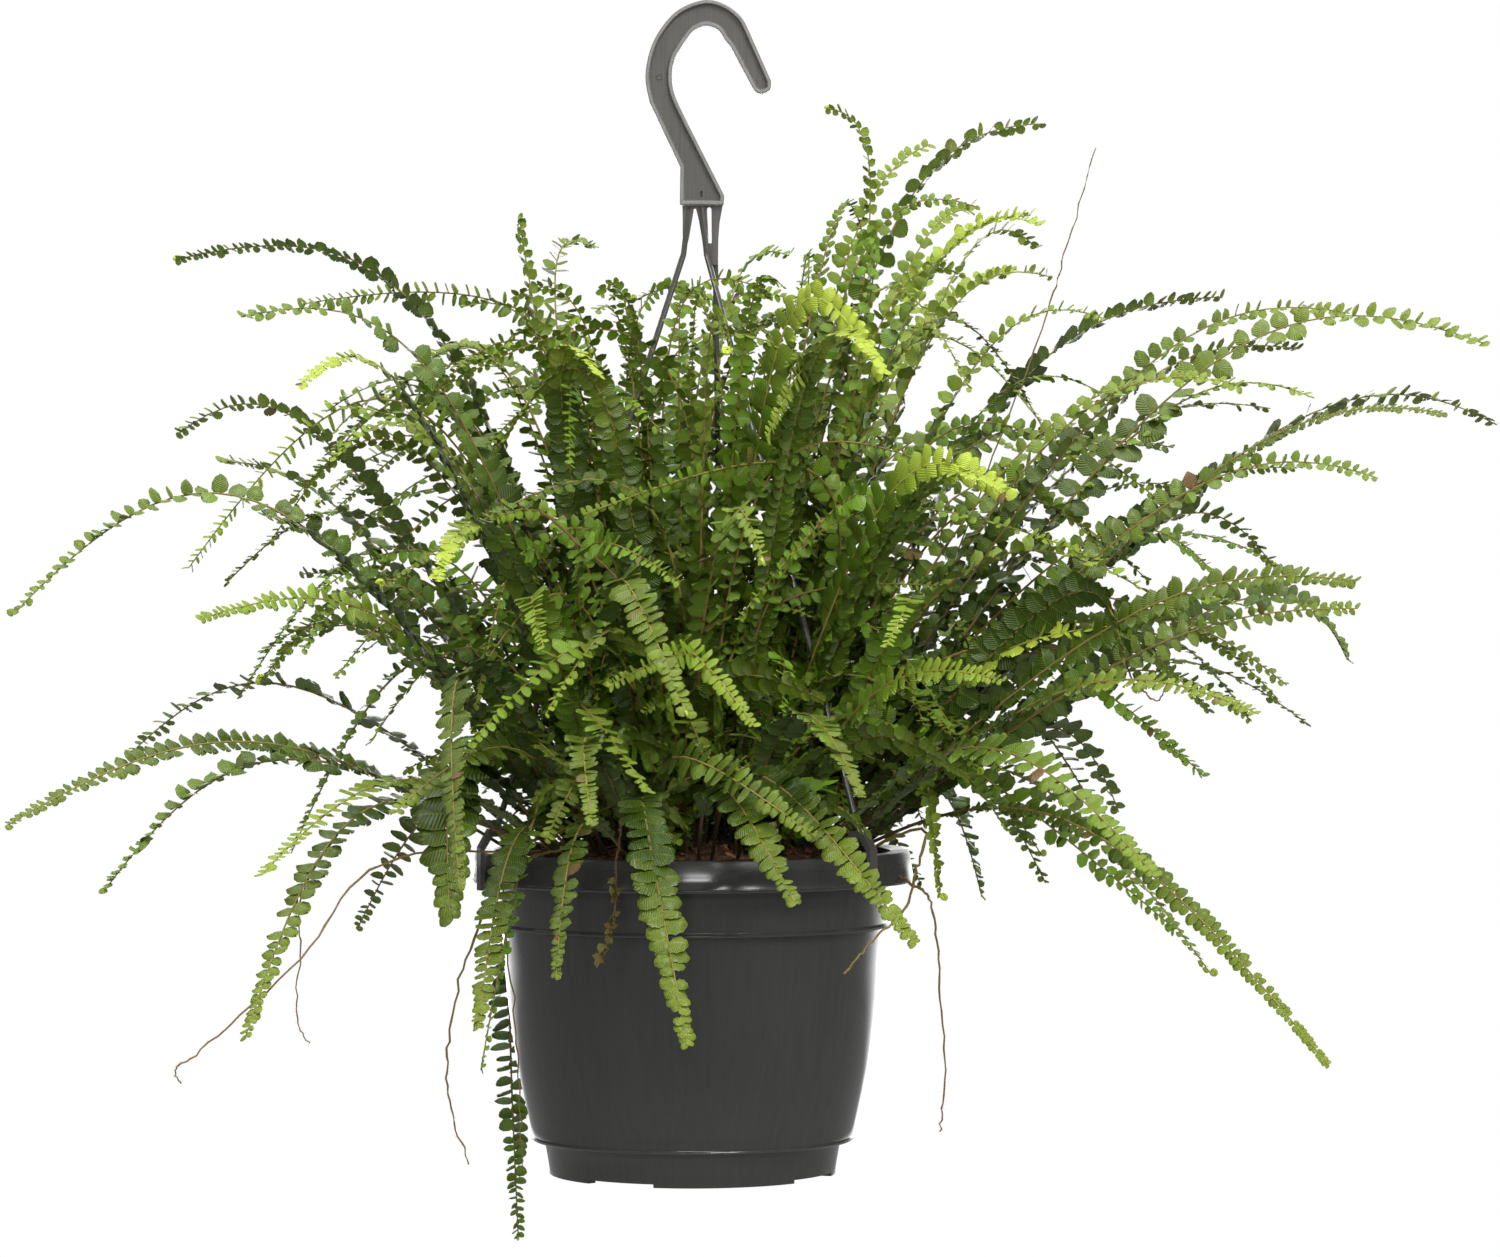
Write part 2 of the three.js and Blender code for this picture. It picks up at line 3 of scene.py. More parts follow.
import bpy
import numpy as np
from bpy.props import FloatProperty, FloatVectorProperty, IntProperty, PointerProperty
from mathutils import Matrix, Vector


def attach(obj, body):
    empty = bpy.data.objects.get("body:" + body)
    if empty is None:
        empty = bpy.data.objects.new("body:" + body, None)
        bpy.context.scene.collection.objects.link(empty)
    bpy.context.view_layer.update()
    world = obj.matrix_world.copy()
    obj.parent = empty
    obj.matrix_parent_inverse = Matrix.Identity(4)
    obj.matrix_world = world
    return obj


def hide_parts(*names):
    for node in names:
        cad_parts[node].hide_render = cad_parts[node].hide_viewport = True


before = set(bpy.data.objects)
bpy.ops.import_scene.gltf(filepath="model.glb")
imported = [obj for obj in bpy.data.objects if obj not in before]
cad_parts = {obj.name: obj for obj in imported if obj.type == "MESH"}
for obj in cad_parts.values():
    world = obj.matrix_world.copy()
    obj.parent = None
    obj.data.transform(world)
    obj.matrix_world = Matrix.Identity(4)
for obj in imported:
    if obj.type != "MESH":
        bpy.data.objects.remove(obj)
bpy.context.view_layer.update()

bl_info = {
    "name": "Button fern in a hanging pot",
    "version": (1, 0, 0),
    "blender": (4, 5, 0),
    "location": "View3D > Sidebar > Button fern",
    "description": "Dresses the packed fern with its leaflets, hairs, soil and plastic finishes",
    "category": "Add Mesh",
}

MM = 0.001
UP = np.array((0.0, 0.0, 1.0))

# The crown is the point on the pot's axis level with the top of its rim. All plant and pot sizes are
# millimetres from it, as in the solids.
CROWN = np.array((-5.5, 0.0, -335.0))

# Pot
RIM_RADIUS = 90.0
RIM_DEPTH = 12.6
RIM_FLARE = 1.7
WALL = 1.6
BAND_FOOT = 31.0
BODY_FOOT = 118.0
BASE = 130.4
FOOT_HEIGHT = 1.4
FOOT_WIDTH = 4.2
FOOT_TURN = 14.0
FOOT_ARC = 60.0
BASE_RADIUS = 58.6
POT_SIDES = 144

# Soil
SOIL_RADIUS = 79.0
SOIL_EDGE = -5.0
SOIL_MOUND = 9.0
ROOT_DEPTH = 12.0

# Hook
HOOK_THICKNESS = 7.0
HOOK_FLANGE = 1.5
HOOK_RECESS = 2.2
HOOK_FOOT = -72.8
POCKET = (-1.9, -68.3)
EJECTOR_MARK = (-18.9, -20.6)

# Strands: the direction of each one's clip round the rim, in degrees, and where it leaves the hook
STRANDS = (("strand_left", 202, (-1.4, 0)), ("strand_right", 322, (3.9, -1)), ("strand_back", 82, (9.2, 1)))
ROD_RADIUS = 1.25
GUSSET_LENGTH = 20.0
STRAND_SPLAY = 0.4
CLIP_APEX_RADIUS = 85.0
CLIP_TOP = 10.0

# Ratios of even scatters that don't fall into step with each other, and the angle between two new fronds
GOLDEN_RATIO = 0.618034
SECOND_RATIO = 0.7549
THIRD_RATIO = 0.5698
GOLDEN_ANGLE = math.degrees(math.pi * (3 - math.sqrt(5)))

# Fronds, by the same rules as the solids
FULLNESS = 0.85
STIPE_RADIUS = 0.8
RIB_TIP = 0.5
STIPE_LENGTH = 34.0
LEAFLET_LENGTH = 10.0
ROOT_INNER = 8.0
ROOT_OUTER = 60.0
MOST_TRIES = 600
HAIR_RADIUS = 0.055

# The slots of the three materials that every plant piece has
LEAF, STALK, HAIR = range(3)

# The fronds that stand out singly: where each bends over, where it ends, how far its blade is turned
# about its rib in degrees, how bright it is from 0 to 1 (a painted light and shade for its place in the
# plant), how lime its young tip is and, of some, how large its leaflets are.
FRONDS = (
    ((-100, 45, 270), (-220, 90, 245), 40, 0.35, 0.0),
    ((-100, -20, 235), (-180, -40, 215), -45, 0.35, 0.0),
    ((-115, -80, 225), (-150, -120, 185), -30, 0.5, 0.8),
    ((-160, 25, 210), (-215, 50, 170), 45, 0.3, 0.1),
    ((-180, -15, 195), (-275, -20, 95), -40, 0.3, 0.1),
    ((-150, 80, 160), (-205, 135, 160), 40, 0.25, 0.1),
    ((-135, -100, 130), (-160, -165, 135), -55, 0.35, 0.0),
    ((-175, 45, 95), (-240, 90, 35), 35, 0.25, 0.0),
    ((-175, -50, 70), (-265, -105, 15), -50, 0.55, 0.1),
    ((-180, 20, 55), (-245, 40, -20), -40, 0.4, 0.1),
    ((-135, -80, 45), (-170, -135, -65), -50, 0.6, 0.2),
    ((-110, -110, 50), (-160, -175, 0), -25, 0.85, 0.3, 0.85),
    ((-105, 75, 35), (-145, 120, -40), 40, 0.3, 0.0),
    ((-105, -60, 70), (-100, -95, -20), -35, 0.5, 0.0, 1.35),
    ((-85, 80, 45), (-75, 90, -170), 30, 0.55, 0.0),
    ((-70, -90, 40), (-80, -150, -60), -10, 0.5, 0.2),
    ((-45, -130, 35), (-50, -160, -40), 0, 0.5, 0.1, 0.78),
    ((-25, -130, 60), (0, -170, -65), -15, 0.48, 0.2),
    ((5, -120, 55), (40, -180, -10), 10, 0.5, 0.1),
    ((15, -110, 65), (85, -190, -25), 25, 0.5, 0.2),
    ((40, -120, 85), (65, -200, 30), -10, 0.48, 0.1),
    ((-40, -120, 155), (0, -185, 60), 10, 0.5, 0.1),
    ((-80, -95, 165), (-95, -165, 110), -20, 0.6, 0.9),
    ((-100, -110, 125), (-85, -185, -5), 15, 0.5, 0.1),
    ((-45, -140, 75), (-35, -205, 20), -5, 0.5, 0.1),
    ((-65, -45, 230), (-35, -90, 190), -25, 0.5, 0.9),
    ((45, -80, 240), (75, -135, 190), 10, 0.7, 1.0),
    ((85, -90, 170), (120, -150, 145), 15, 0.6, 1.0),
    ((90, 20, 300), (55, 40, 305), 60, 0.4, 0.3),
    ((75, 75, 300), (150, 120, 305), -45, 0.35, 0.1),
    ((85, -25, 255), (135, -50, 255), 40, 0.45, 0.9),
    ((110, 50, 280), (145, 90, 250), -35, 0.4, 0.3),
    ((85, 100, 235), (140, 165, 245), 30, 0.35, 0.4),
    ((130, 60, 225), (225, 105, 230), -40, 0.35, 0.0),
    ((215, -15, 245), (320, -20, 205), 50, 0.28, 0.2),
    ((260, 50, 215), (340, 90, 175), -35, 0.25, 0.1),
    ((225, -50, 190), (295, -90, 175), 45, 0.4, 0.1),
    ((180, -90, 120), (255, -135, 110), 55, 0.5, 0.1),
    ((200, 25, 170), (240, 50, 115), -40, 0.35, 0.1),
    ((250, 80, 135), (280, 120, 75), 35, 0.3, 0.0),
    ((150, -105, 90), (215, -165, 60), 40, 0.55, 0.3),
    ((110, -115, 75), (175, -180, 0), 30, 0.85, 0.1, 0.85),
    ((160, 50, 75), (190, 90, 10), -35, 0.3, 0.0),
    ((145, -50, 40), (250, -90, -80), 45, 0.95, 0.2, 0.62),
    ((105, 110, 45), (125, 165, -30), 30, 0.3, 0.0),
    ((110, -20, 50), (140, -40, 0), 20, 0.5, 0.0),
    ((170, -50, 140), (180, -90, 75), -40, 0.35, 0.0),
    ((-75, 10, 275), (-70, 20, 255), 50, 0.4, 0.2),
    ((-75, 105, 270), (-45, 180, 255), 30, 0.35, 0.1),
    ((0, 90, 260), (30, 150, 250), -30, 0.4, 0.2),
)

# Extra fronds in the same form, among those of the solids: young lime ones, ones that cross the heart, ones
# that fill the sides and short ones that arch over the rim.
# Their brightness, as in the table above, is a painted light and shade for where they hang.
EXTRA_FRONDS = (
    ((32, -72, 268), (74, -105, 190), 80, 0.4, 1.0),
    ((78, -90, 182), (122, -125, 142), 70, 0.4, 1.0),
    ((105, -40, 85), (165, -80, 92), 50, 0.4, 0.7),
    ((70, -95, 85), (120, -140, 72), 50, 0.5, 0.3),
    ((-60, -95, 90), (-15, -150, 30), -40, 0.6, 0.2),
    ((-120, -60, 120), (-190, -105, 95), -50, 0.5, 0.2),
    ((-20, -100, 115), (25, -140, 55), 30, 0.55, 0.3),
    ((60, -60, 235), (30, -120, 165), -60, 0.25, 0.2),
    ((-30, -70, 240), (-75, -110, 160), 50, 0.1, 0.1),
    ((20, -105, 100), (-30, -150, 70), -50, 0.6, 0.2),
    ((100, -75, 130), (75, -150, 85), 20, 0.6, 0.2),
    ((-70, -85, 130), (-55, -150, 85), 10, 0.6, 0.2),
    ((92, -5, 272), (142, 10, 255), 35, 0.45, 0.6),
    ((98, 35, 250), (150, 60, 236), -40, 0.35, 0.3),
    ((88, 60, 268), (118, 90, 266), 45, 0.35, 0.2),
    ((75, -20, 252), (110, -30, 232), -50, 0.4, 0.3),
    ((115, -20, 235), (165, -45, 214), 50, 0.4, 0.2),
    ((60, 20, 275), (98, 40, 290), 40, 0.35, 0.2),
    ((185, -30, 232), (262, -50, 216), 60, 0.25, 0.1),
    ((175, 10, 215), (250, 30, 205), -50, 0.25, 0.1),
    ((200, -70, 175), (270, -80, 150), 55, 0.3, 0.1),
    ((150, -60, 205), (215, -90, 186), 45, 0.35, 0.2),
    ((-40, -75, 62), (5, -120, 38), -70, 0.3, 0.1),
    ((-85, -60, 72), (-40, -120, 30), -60, 0.25, 0.1),
    ((-15, -60, 50), (-60, -112, 26), 60, 0.3, 0.1),
    ((25, -68, 52), (-18, -116, 22), 60, 0.25, 0.1),
    ((60, -66, 54), (22, -118, 26), 65, 0.3, 0.1),
    ((62, -70, 66), (108, -118, 34), -60, 0.3, 0.1),
    ((-62, -60, 102), (-8, -125, 80), -80, 0.3, 0.1),
    ((0, -58, 88), (52, -125, 64), -80, 0.3, 0.1),
    ((-30, -62, 40), (-2, -104, 16), -70, 0.25, 0.1),
    ((40, -62, 38), (70, -100, 12), -60, 0.25, 0.1),
    ((-22, -112, 64), (48, -172, 14), 25, 0.15, 0.1),
    ((-32, -106, 62), (-54, -152, 12), -20, 0.05, 0.1),
    ((-66, -100, 66), (-112, -140, 22), -25, 0.1, 0.1),
)

# The tufts: direction of the crown, how far out it stands, the fan of its fronds, their reach and rise,
# and how much they droop.
TUFTS = (
    ("tuft_back_left", 140, 45, 110, (90, 210), (40, 230), 0.9),
    ("tuft_back_right", 50, 45, 110, (90, 210), (40, 230), 0.9),
    ("tuft_back", 98, 22, 140, (110, 200), (120, 250), 0.5),
    ("tuft_heart", 250, 20, 320, (40, 150), (90, 240), 0.4),
)
TUFT_FRONDS = 8
TUFT_CROWN_RADIUS = 4.5
TUFT_SWING = 50.0

# How a frond looks where its own settings don't say
USUAL_LOOK = {
    "young_from": 0.4,  # where along its leaflets the lime end begins
    # The bloom share mixes leaflets towards a grey green: a dull waxy bloom and a painted sheen of the white
    # surround.
    "bloom": 0.0,  # how dull its leaflets are with bloom, from 0 to 1
    "facing": 0.0,  # how far its leaflets turn their faces up to the light, from 0 to 1
    "lap": 9,  # how far each leaflet tips to lap over the next, in degrees
    "sparse": 1.0,  # how much wider apart than usual its leaflets stand
    "size": 1.0,  # how large its leaflets are
    "round": 1.0,  # how much wider than usual its leaflets are for their length
    "stipe": STIPE_LENGTH + ROOT_DEPTH,  # how much of the midrib is bare, in millimetres
    "hairs": 1.0,  # how many hairs its midrib has
    "coil": 0.0,  # the radius of the coil at its tip, in millimetres
}

# Bare wiry runners and dried midribs: points from the crown, the radius at the start, and how dry each is.
RUNNERS = (
    (((60, 20, 4), (105, 40, 110), (145, 60, 214), (155, 60, 246), (168, 60, 290)), 0.45, 0.3),
    (((68, -20, -2), (89, -38, -12), (96, -45, -21), (99, -50, -49), (101, -50, -89), (99, -50, -110)),
     0.6, 0.5),
    (((-50, -55, 3), (-72, -78, -4), (-88, -85, -39), (-95, -85, -74), (-94, -85, -97), (-87, -85, -119)),
     0.6, 0.2),
    (((-60, -40, 0), (-74, -60, -10), (-70, -64, -60), (-68, -62, -98), (-67, -60, -124)), 0.4, 0.7),
    (((-60, -50, 2), (-120, -95, 0), (-150, -120, -36), (-187, -130, -70), (-197, -130, -77),
      (-195, -130, -83)),
     0.5, 0.5),
    (((-55, -40, 2), (-120, -75, 22), (-150, -92, -9), (-152, -98, -37), (-153, -100, -61),
      (-148, -100, -70)),
     0.4, 0.7),
    (((66, -18, -2), (92, -40, 10), (90, -50, -5), (84, -75, -20), (70, -95, -32), (60, -100, -43)),
     0.7, 0.05),
    (((-20, -60, 3), (-26, -88, 16), (-28, -110, 4), (-29, -114, -20), (-34, -118, -37)), 0.5, 1.0),
    (((-60, -60, 138), (-46, -70, 126), (-28, -80, 110), (-10, -80, 87)), 0.6, 0.9),
    (((120, -30, 78), (167, -40, 84), (176, -45, 70), (186, -50, 62), (192, -50, 76)), 0.5, 0.8),
)


def linear(code):
    """An sRGB hex colour as the linear colour that shaders take."""
    channels = [int(code[i:i + 2], 16) / 255 for i in (1, 3, 5)]
    return tuple(c / 12.92 if c <= 0.04045 else ((c + 0.055) / 1.055) ** 2.4 for c in channels) + (1.0,)


def colour_property(name, description, code):
    return FloatVectorProperty(name=name, description=description, default=linear(code), size=4,
                               subtype="COLOR", min=0.0, max=1.0)


class FernLeafletSettings(bpy.types.PropertyGroup):
    spacing: FloatProperty(name="Spacing", default=0.62, min=0.3, max=2.0, subtype="FACTOR",
                           description="Distance between leaflets on one side, as a share of their length")
    width: FloatProperty(name="Width", description="Width of a leaflet as a share of its length",
                         default=0.8, min=0.3, max=1.2, subtype="FACTOR")
    thickness: FloatProperty(name="Thickness", description="Thickness of a leaflet as a share of its length",
                             default=0.05, min=0.01, max=0.2, subtype="FACTOR")
    dome: FloatProperty(name="Dome", default=0.17, min=0.0, max=0.4, subtype="FACTOR",
                        description="How far a leaflet's edges curve down, as a share of its length")
    unruliness: FloatProperty(name="Unruliness", description="How far leaflets tilt and twist from the blade",
                              default=math.radians(20), min=0.0, max=math.radians(60), unit="ROTATION")
    hairs: IntProperty(name="Hairs", description="Fine hairs on each midrib", default=70, min=0, max=400)
    hair_length: FloatProperty(name="Hair length", description="Length of a midrib hair", default=0.0011,
                               min=0.0, max=0.005, unit="LENGTH")


class FernColourSettings(bpy.types.PropertyGroup):
    # The tone ramp runs from dark through middle to bright, and each frond's place in the plant sets its
    # tone, so these colours are partly painted shade and painted light.
    dark: colour_property("Old and painted-shade leaf", "Old leaflets", "#495E12")
    middle: colour_property("Leaf", "Grown leaflets", "#64821F")
    bright: colour_property("Fresh leaf in painted light", "Leaflets of the lightest fronds", "#709C1E")
    lime: colour_property("Young leaf", "Leaflets at growing tips", "#C2D648")
    # This grey green stands for a dull waxy bloom and for a painted sheen of the white surround on the outer
    # leaflets.
    bloom: colour_property("Bloom and painted sheen", "Dull waxy bloom on the outer leaflets", "#60724A")
    midrib: colour_property("Midrib", "Living midribs and stipes", "#8A7D3C")
    dry: colour_property("Dry midrib", "Dried runners and midribs", "#7C5C38")


class PlanterSettings(bpy.types.PropertyGroup):
    pot: colour_property("Pot", "Moulded plastic of the pot", "#393937")
    hanger: colour_property("Hanger", "Moulded plastic of the hook and strands", "#73716C")
    peat: colour_property("Peat", "Moist peat", "#3C271A")
    edge: FloatProperty(name="Edge radius", description="Rounding of the pot's moulded edges", default=0.0005,
                        min=0.0, max=0.002, unit="LENGTH")
    crumbs: IntProperty(name="Crumbs", description="Loose crumbs and fibres on the soil", default=900, min=0,
                        max=4000)


class StudioSettings(bpy.types.PropertyGroup):
    drop: FloatProperty(name="Floor drop", description="Height of the hanging point above the floor",
                        default=0.62, min=0.51, max=2.0, unit="LENGTH")
    key: FloatProperty(name="Key light", description="Strength of the main light, high on the right",
                       default=30.0, min=0.0, unit="POWER")
    fill: FloatProperty(name="Fill light", default=11.0, min=0.0, unit="POWER",
                        description="Strength that the front and top lights are worked out from")
    sky: FloatProperty(name="Surround", description="How strongly the white surround lights the plant",
                       default=0.42, min=0.0)


# Small geometry helpers

def smoothstep(value, low, high):
    x = np.clip((np.asarray(value, float) - low) / (high - low), 0, 1)
    return x * x * (3 - 2 * x)


def unit(vectors):
    return vectors / np.linalg.norm(vectors, axis=-1, keepdims=True)


def scatter(count, ratio=GOLDEN_RATIO):
    """An even scatter from 0 to 1: each count lands away from those before it."""
    return (count * ratio) % 1


def zigzag(count):
    """0, +1, -1, +2, -2 and so on."""
    return (count + 1) / 2 if count % 2 else -count / 2


def turned(point, degrees):
    """A point turned about the pot's axis."""
    angle = math.radians(degrees)
    x, y, z = point
    return np.array((x * math.cos(angle) - y * math.sin(angle), x * math.sin(angle) + y * math.cos(angle), z))


def soil_top(radius):
    return SOIL_EDGE + SOIL_MOUND * (1 - (radius / SOIL_RADIUS) ** 2)


def catmull_rom(points, steps):
    """A smooth line through points, with so many steps between each two."""
    points = np.asarray(points, float)
    padded = np.vstack([points[0], points, points[-1]])
    line = []
    for i in range(len(points) - 1):
        a, b, c, d = padded[i:i + 4]
        for t in np.arange(steps) / steps:
            v0, v1 = (c - a) / 2, (d - b) / 2
            cubic = 2 * b - 2 * c + v0 + v1
            square = -3 * b + 3 * c - 2 * v0 - v1
            line.append(cubic * t ** 3 + square * t ** 2 + v0 * t + b)
    return np.array(line + [points[-1]])


class Midrib:
    """The arching midrib of a frond, from its root in the soil to its tip."""

    def __init__(self, root, bend, tip, turn, longest):
        root, bend, tip = (np.asarray(p, float) for p in (root, bend, tip))
        self.controls = (root, root + (bend - root) * FULLNESS, tip + (bend - tip) * FULLNESS, tip)
        rise, run = bend - root, tip - root
        square = np.cross(run, rise)
        if np.linalg.norm(square) < 0.12 * np.linalg.norm(rise) * np.linalg.norm(run):
            square = np.array((rise[1], -rise[0], 0.0))
        self.plane = unit(square)
        self.turn = turn
        self.longest = longest

    def at(self, t):
        a, b, c, d = self.controls
        t = np.asarray(t, float)[:, None]
        return a * (1 - t) ** 3 + 3 * b * t * (1 - t) ** 2 + 3 * c * t ** 2 * (1 - t) + d * t ** 3

    def heading(self, t):
        a, b, c, d = self.controls
        t = np.asarray(t, float)[:, None]
        return unit(3 * (b - a) * (1 - t) ** 2 + 6 * (c - b) * t * (1 - t) + 3 * (d - c) * t ** 2)

    def measure(self):
        """Finds its length and how far along it each parameter lies, which frames needs."""
        self.parameters = np.linspace(0, 1, 201)
        steps = np.linalg.norm(np.diff(self.at(self.parameters), axis=0), axis=1)
        self.lengths = np.concatenate([[0], np.cumsum(steps)])
        self.length = self.lengths[-1]

    def blade(self, forward, shares):
        """The directions across and above the blade where it heads forward."""
        angle = (self.turn * smoothstep(shares, 0.1, 0.6))[:, None]
        along = forward * (forward @ self.plane)[:, None]
        across = (self.plane * np.cos(angle) + np.cross(forward, self.plane) * np.sin(angle)
                  + along * (1 - np.cos(angle)))
        return unit(across), unit(np.cross(across, forward))

    def frames(self, shares):
        """Place, heading, across and up at shares of the length."""
        shares = np.asarray(shares, float)
        t = np.interp(shares * self.length, self.lengths, self.parameters)
        forward = self.heading(t)
        across, up = self.blade(forward, shares)
        return self.at(t), forward, across, up

    def tip_corners(self):
        """The four corners of the rib's end, as the solid has them."""
        end = np.array([1.0])
        across, up = self.blade(self.heading(end), end)
        signs = np.array(((-1, 1), (1, 1), (1, -1), (-1, -1))) * RIB_TIP
        return self.controls[3] + signs[:, :1] * across + signs[:, 1:] * up


def root_of(bend, inward):
    """Low fronds root at the edge of the soil and upright ones near its middle."""
    reach = math.hypot(bend[0], bend[1])
    lowness = reach / (reach + max(bend[2], 0))
    radius = ROOT_INNER + (ROOT_OUTER - ROOT_INNER) * lowness * 1.4 - inward
    radius = min(max(radius, ROOT_INNER), ROOT_OUTER)
    return np.array((bend[0] * radius / reach, bend[1] * radius / reach, soil_top(radius) - ROOT_DEPTH))


def single_frond(row, index, attempt):
    """A frond of the table at one try, as the solids were placed."""
    bend, tip, roll = row[:3]
    about = 1.3 * zigzag(attempt % 13)
    outer = attempt // 13
    bend, tip = turned(bend, about), turned(tip, about)
    bend[2] += 5 * zigzag(outer)
    root = root_of(bend, 5 * scatter(index) + 4 * (outer % 4))
    longest = LEAFLET_LENGTH * (0.82 + 0.3 * scatter(index, SECOND_RATIO)) * (1 - 0.02 * outer)
    return Midrib(root, bend, tip, math.radians(roll + 12 * zigzag(outer % 5)), longest)


def tuft_frond(tuft, tuft_index, index, attempt):
    """A frond of a tuft at one try, as the solids were placed."""
    _, angle, radius, fan, reaches, rises, droop = tuft
    count = tuft_index * TUFT_FRONDS + index
    heading_angle = angle + fan * ((index + 0.5) / TUFT_FRONDS - 0.5) + TUFT_SWING * (scatter(attempt) - 0.5)
    reach = reaches[0] + (reaches[1] - reaches[0]) * scatter(attempt + count, SECOND_RATIO)
    rise = rises[0] + (rises[1] - rises[0]) * scatter(attempt + count, THIRD_RATIO)
    crown = turned((radius, 0, soil_top(radius)), angle)
    heading = turned((1, 0, 0), heading_angle)
    root = crown + heading * 1.5
    root[2] = soil_top(radius) + 1.2
    bend = crown + heading * reach * 0.55
    bend[2] = rise
    tip = crown + heading * reach
    tip[2] = rise - reach * droop * (0.3 + 0.7 * scatter(count))
    turn = math.radians(80 * (scatter(count, SECOND_RATIO) - 0.5))
    return Midrib(root, bend, tip, turn, LEAFLET_LENGTH * 0.9)


def settled(node, build):
    """The try at which the solid found a clear place: the one whose rib ends at corners of its mesh."""
    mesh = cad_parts[node].data
    corners = np.empty(len(mesh.vertices) * 3)
    mesh.vertices.foreach_get("co", corners)
    corners = corners.reshape(-1, 3) / MM - CROWN
    for attempt in range(MOST_TRIES):
        midrib = build(attempt)
        gaps = np.linalg.norm(midrib.tip_corners()[:, None] - corners[None], axis=2).min(axis=1)
        if gaps.max() < 0.02:
            return midrib
    raise RuntimeError(f"no try of the placing rule matches {node}")


# Meshes gathered from many small shapes

class Gathering:
    """Collects small shapes, in millimetres from the crown, and makes one mesh object of them."""

    def __init__(self):
        self.points, self.faces, self.slots, self.states, self.uvs = [], [], [], [], []
        self.count = 0

    def add(self, points, faces, slot, state, uv):
        """Points (n, 3), faces (m, k), a material slot, and a state and uv for each point."""
        self.points.append(points)
        self.faces.append(faces + self.count)
        self.slots.append(np.full(len(faces), slot))
        self.states.append(np.broadcast_to(state, (len(points), 4)))
        self.uvs.append(np.broadcast_to(uv, (len(points), 2)))
        self.count += len(points)

    def make(self, name, materials, smooth_angle=math.radians(50)):
        mesh = bpy.data.meshes.new(name)
        points = (np.vstack(self.points) + CROWN) * MM
        sizes = np.concatenate([np.full(len(f), f.shape[1]) for f in self.faces])
        loops = np.concatenate([f.ravel() for f in self.faces])
        mesh.vertices.add(len(points))
        mesh.vertices.foreach_set("co", points.ravel())
        mesh.loops.add(len(loops))
        mesh.loops.foreach_set("vertex_index", loops)
        mesh.polygons.add(len(sizes))
        mesh.polygons.foreach_set("loop_start", np.concatenate([[0], np.cumsum(sizes)[:-1]]))
        for material in materials:
            mesh.materials.append(material)
        mesh.polygons.foreach_set("material_index", np.concatenate(self.slots))
        mesh.update(calc_edges=True)
        state = mesh.color_attributes.new("leaf_state", "FLOAT_COLOR", "POINT")
        state.data.foreach_set("color", np.vstack(self.states).ravel())
        layer = mesh.uv_layers.new(name="leaf_map")
        layer.data.foreach_set("uv", np.vstack(self.uvs)[loops].ravel())
        mesh.validate()
        mesh.shade_smooth()
        mesh.set_sharp_from_angle(angle=smooth_angle)
        piece = bpy.data.objects.new(name, mesh)
        bpy.context.collection.objects.link(piece)
        return piece


def add_tube(gathering, points, across, up, radii, sides, slot, state):
    """A round tube along points, closed at both ends, with one state or one for each point."""
    ring = np.arange(sides) * 2 * math.pi / sides
    around = (across[:, None] * np.cos(ring)[None, :, None] + up[:, None] * np.sin(ring)[None, :, None])
    rings = points[:, None] + around * np.asarray(radii)[:, None, None]
    count = len(points)
    base = (np.arange(count - 1)[:, None] * sides + np.arange(sides)[None]).ravel()
    after = (np.arange(count - 1)[:, None] * sides + (np.arange(sides)[None] + 1) % sides).ravel()
    quads = np.stack([base, base + sides, after + sides, after], axis=1)
    along = np.repeat(np.linspace(0, 1, count), sides)
    uv = np.stack([along, np.tile(ring / (2 * math.pi), count)], axis=1)
    if np.ndim(state) == 2:
        state = np.repeat(state, sides, axis=0)
    gathering.add(rings.reshape(-1, 3), quads, slot, state, uv)
    caps = np.array([np.arange(sides), (count - 1) * sides + np.arange(sides)[::-1]])
    gathering.faces.append(caps + gathering.count - count * sides)
    gathering.slots.append(np.full(2, slot))


def add_spikes(gathering, corners):
    """Hairs as slim three-sided spikes, given by the three corners of each one's foot and its tip."""
    count = len(corners[0])
    faces = np.array(((0, 1, 2), (0, 3, 1), (1, 3, 2), (2, 3, 0)))
    all_faces = (faces[None] + 4 * np.arange(count)[:, None, None]).reshape(-1, 3)
    gathering.add(np.stack(corners, axis=1).reshape(-1, 3), all_faces, HAIR, (0.5, 0, 0, 1), (0, 0))


def add_hairs(gathering, midrib, count, length, rng):
    """Fine hairs that stand out of a midrib, rooted inside it."""
    if not count:
        return
    shares = rng.uniform(0.08, 0.97, count)
    place, forward, across, up = midrib.frames(shares)
    angle = rng.uniform(0, 2 * math.pi, count)[:, None]
    out = unit(across * np.cos(angle) + up * np.sin(angle) + forward * rng.uniform(-0.2, 0.7, count)[:, None])
    side = unit(np.cross(out, forward))
    other = np.cross(out, side)
    reach = length / MM * rng.uniform(0.5, 1.2, count)[:, None] + 0.5
    thick = HAIR_RADIUS
    add_spikes(gathering, (place + side * thick, place - side * thick * 0.5 + other * thick * 0.87,
                           place - side * thick * 0.5 - other * thick * 0.87, place + out * reach))


def leaflet_length(share, longest):
    return longest * (0.45 + 0.55 * smoothstep(share, 0, 0.3)) * (1 - 0.62 * smoothstep(share, 0.5, 1.05))


def drifting(shares, rng, waves=3.0):
    """A slow random change along a frond, between about -1 and 1."""
    knots = rng.uniform(-1, 1, int(waves) + 3)
    return np.interp(shares, np.linspace(0, 1, len(knots)), knots)


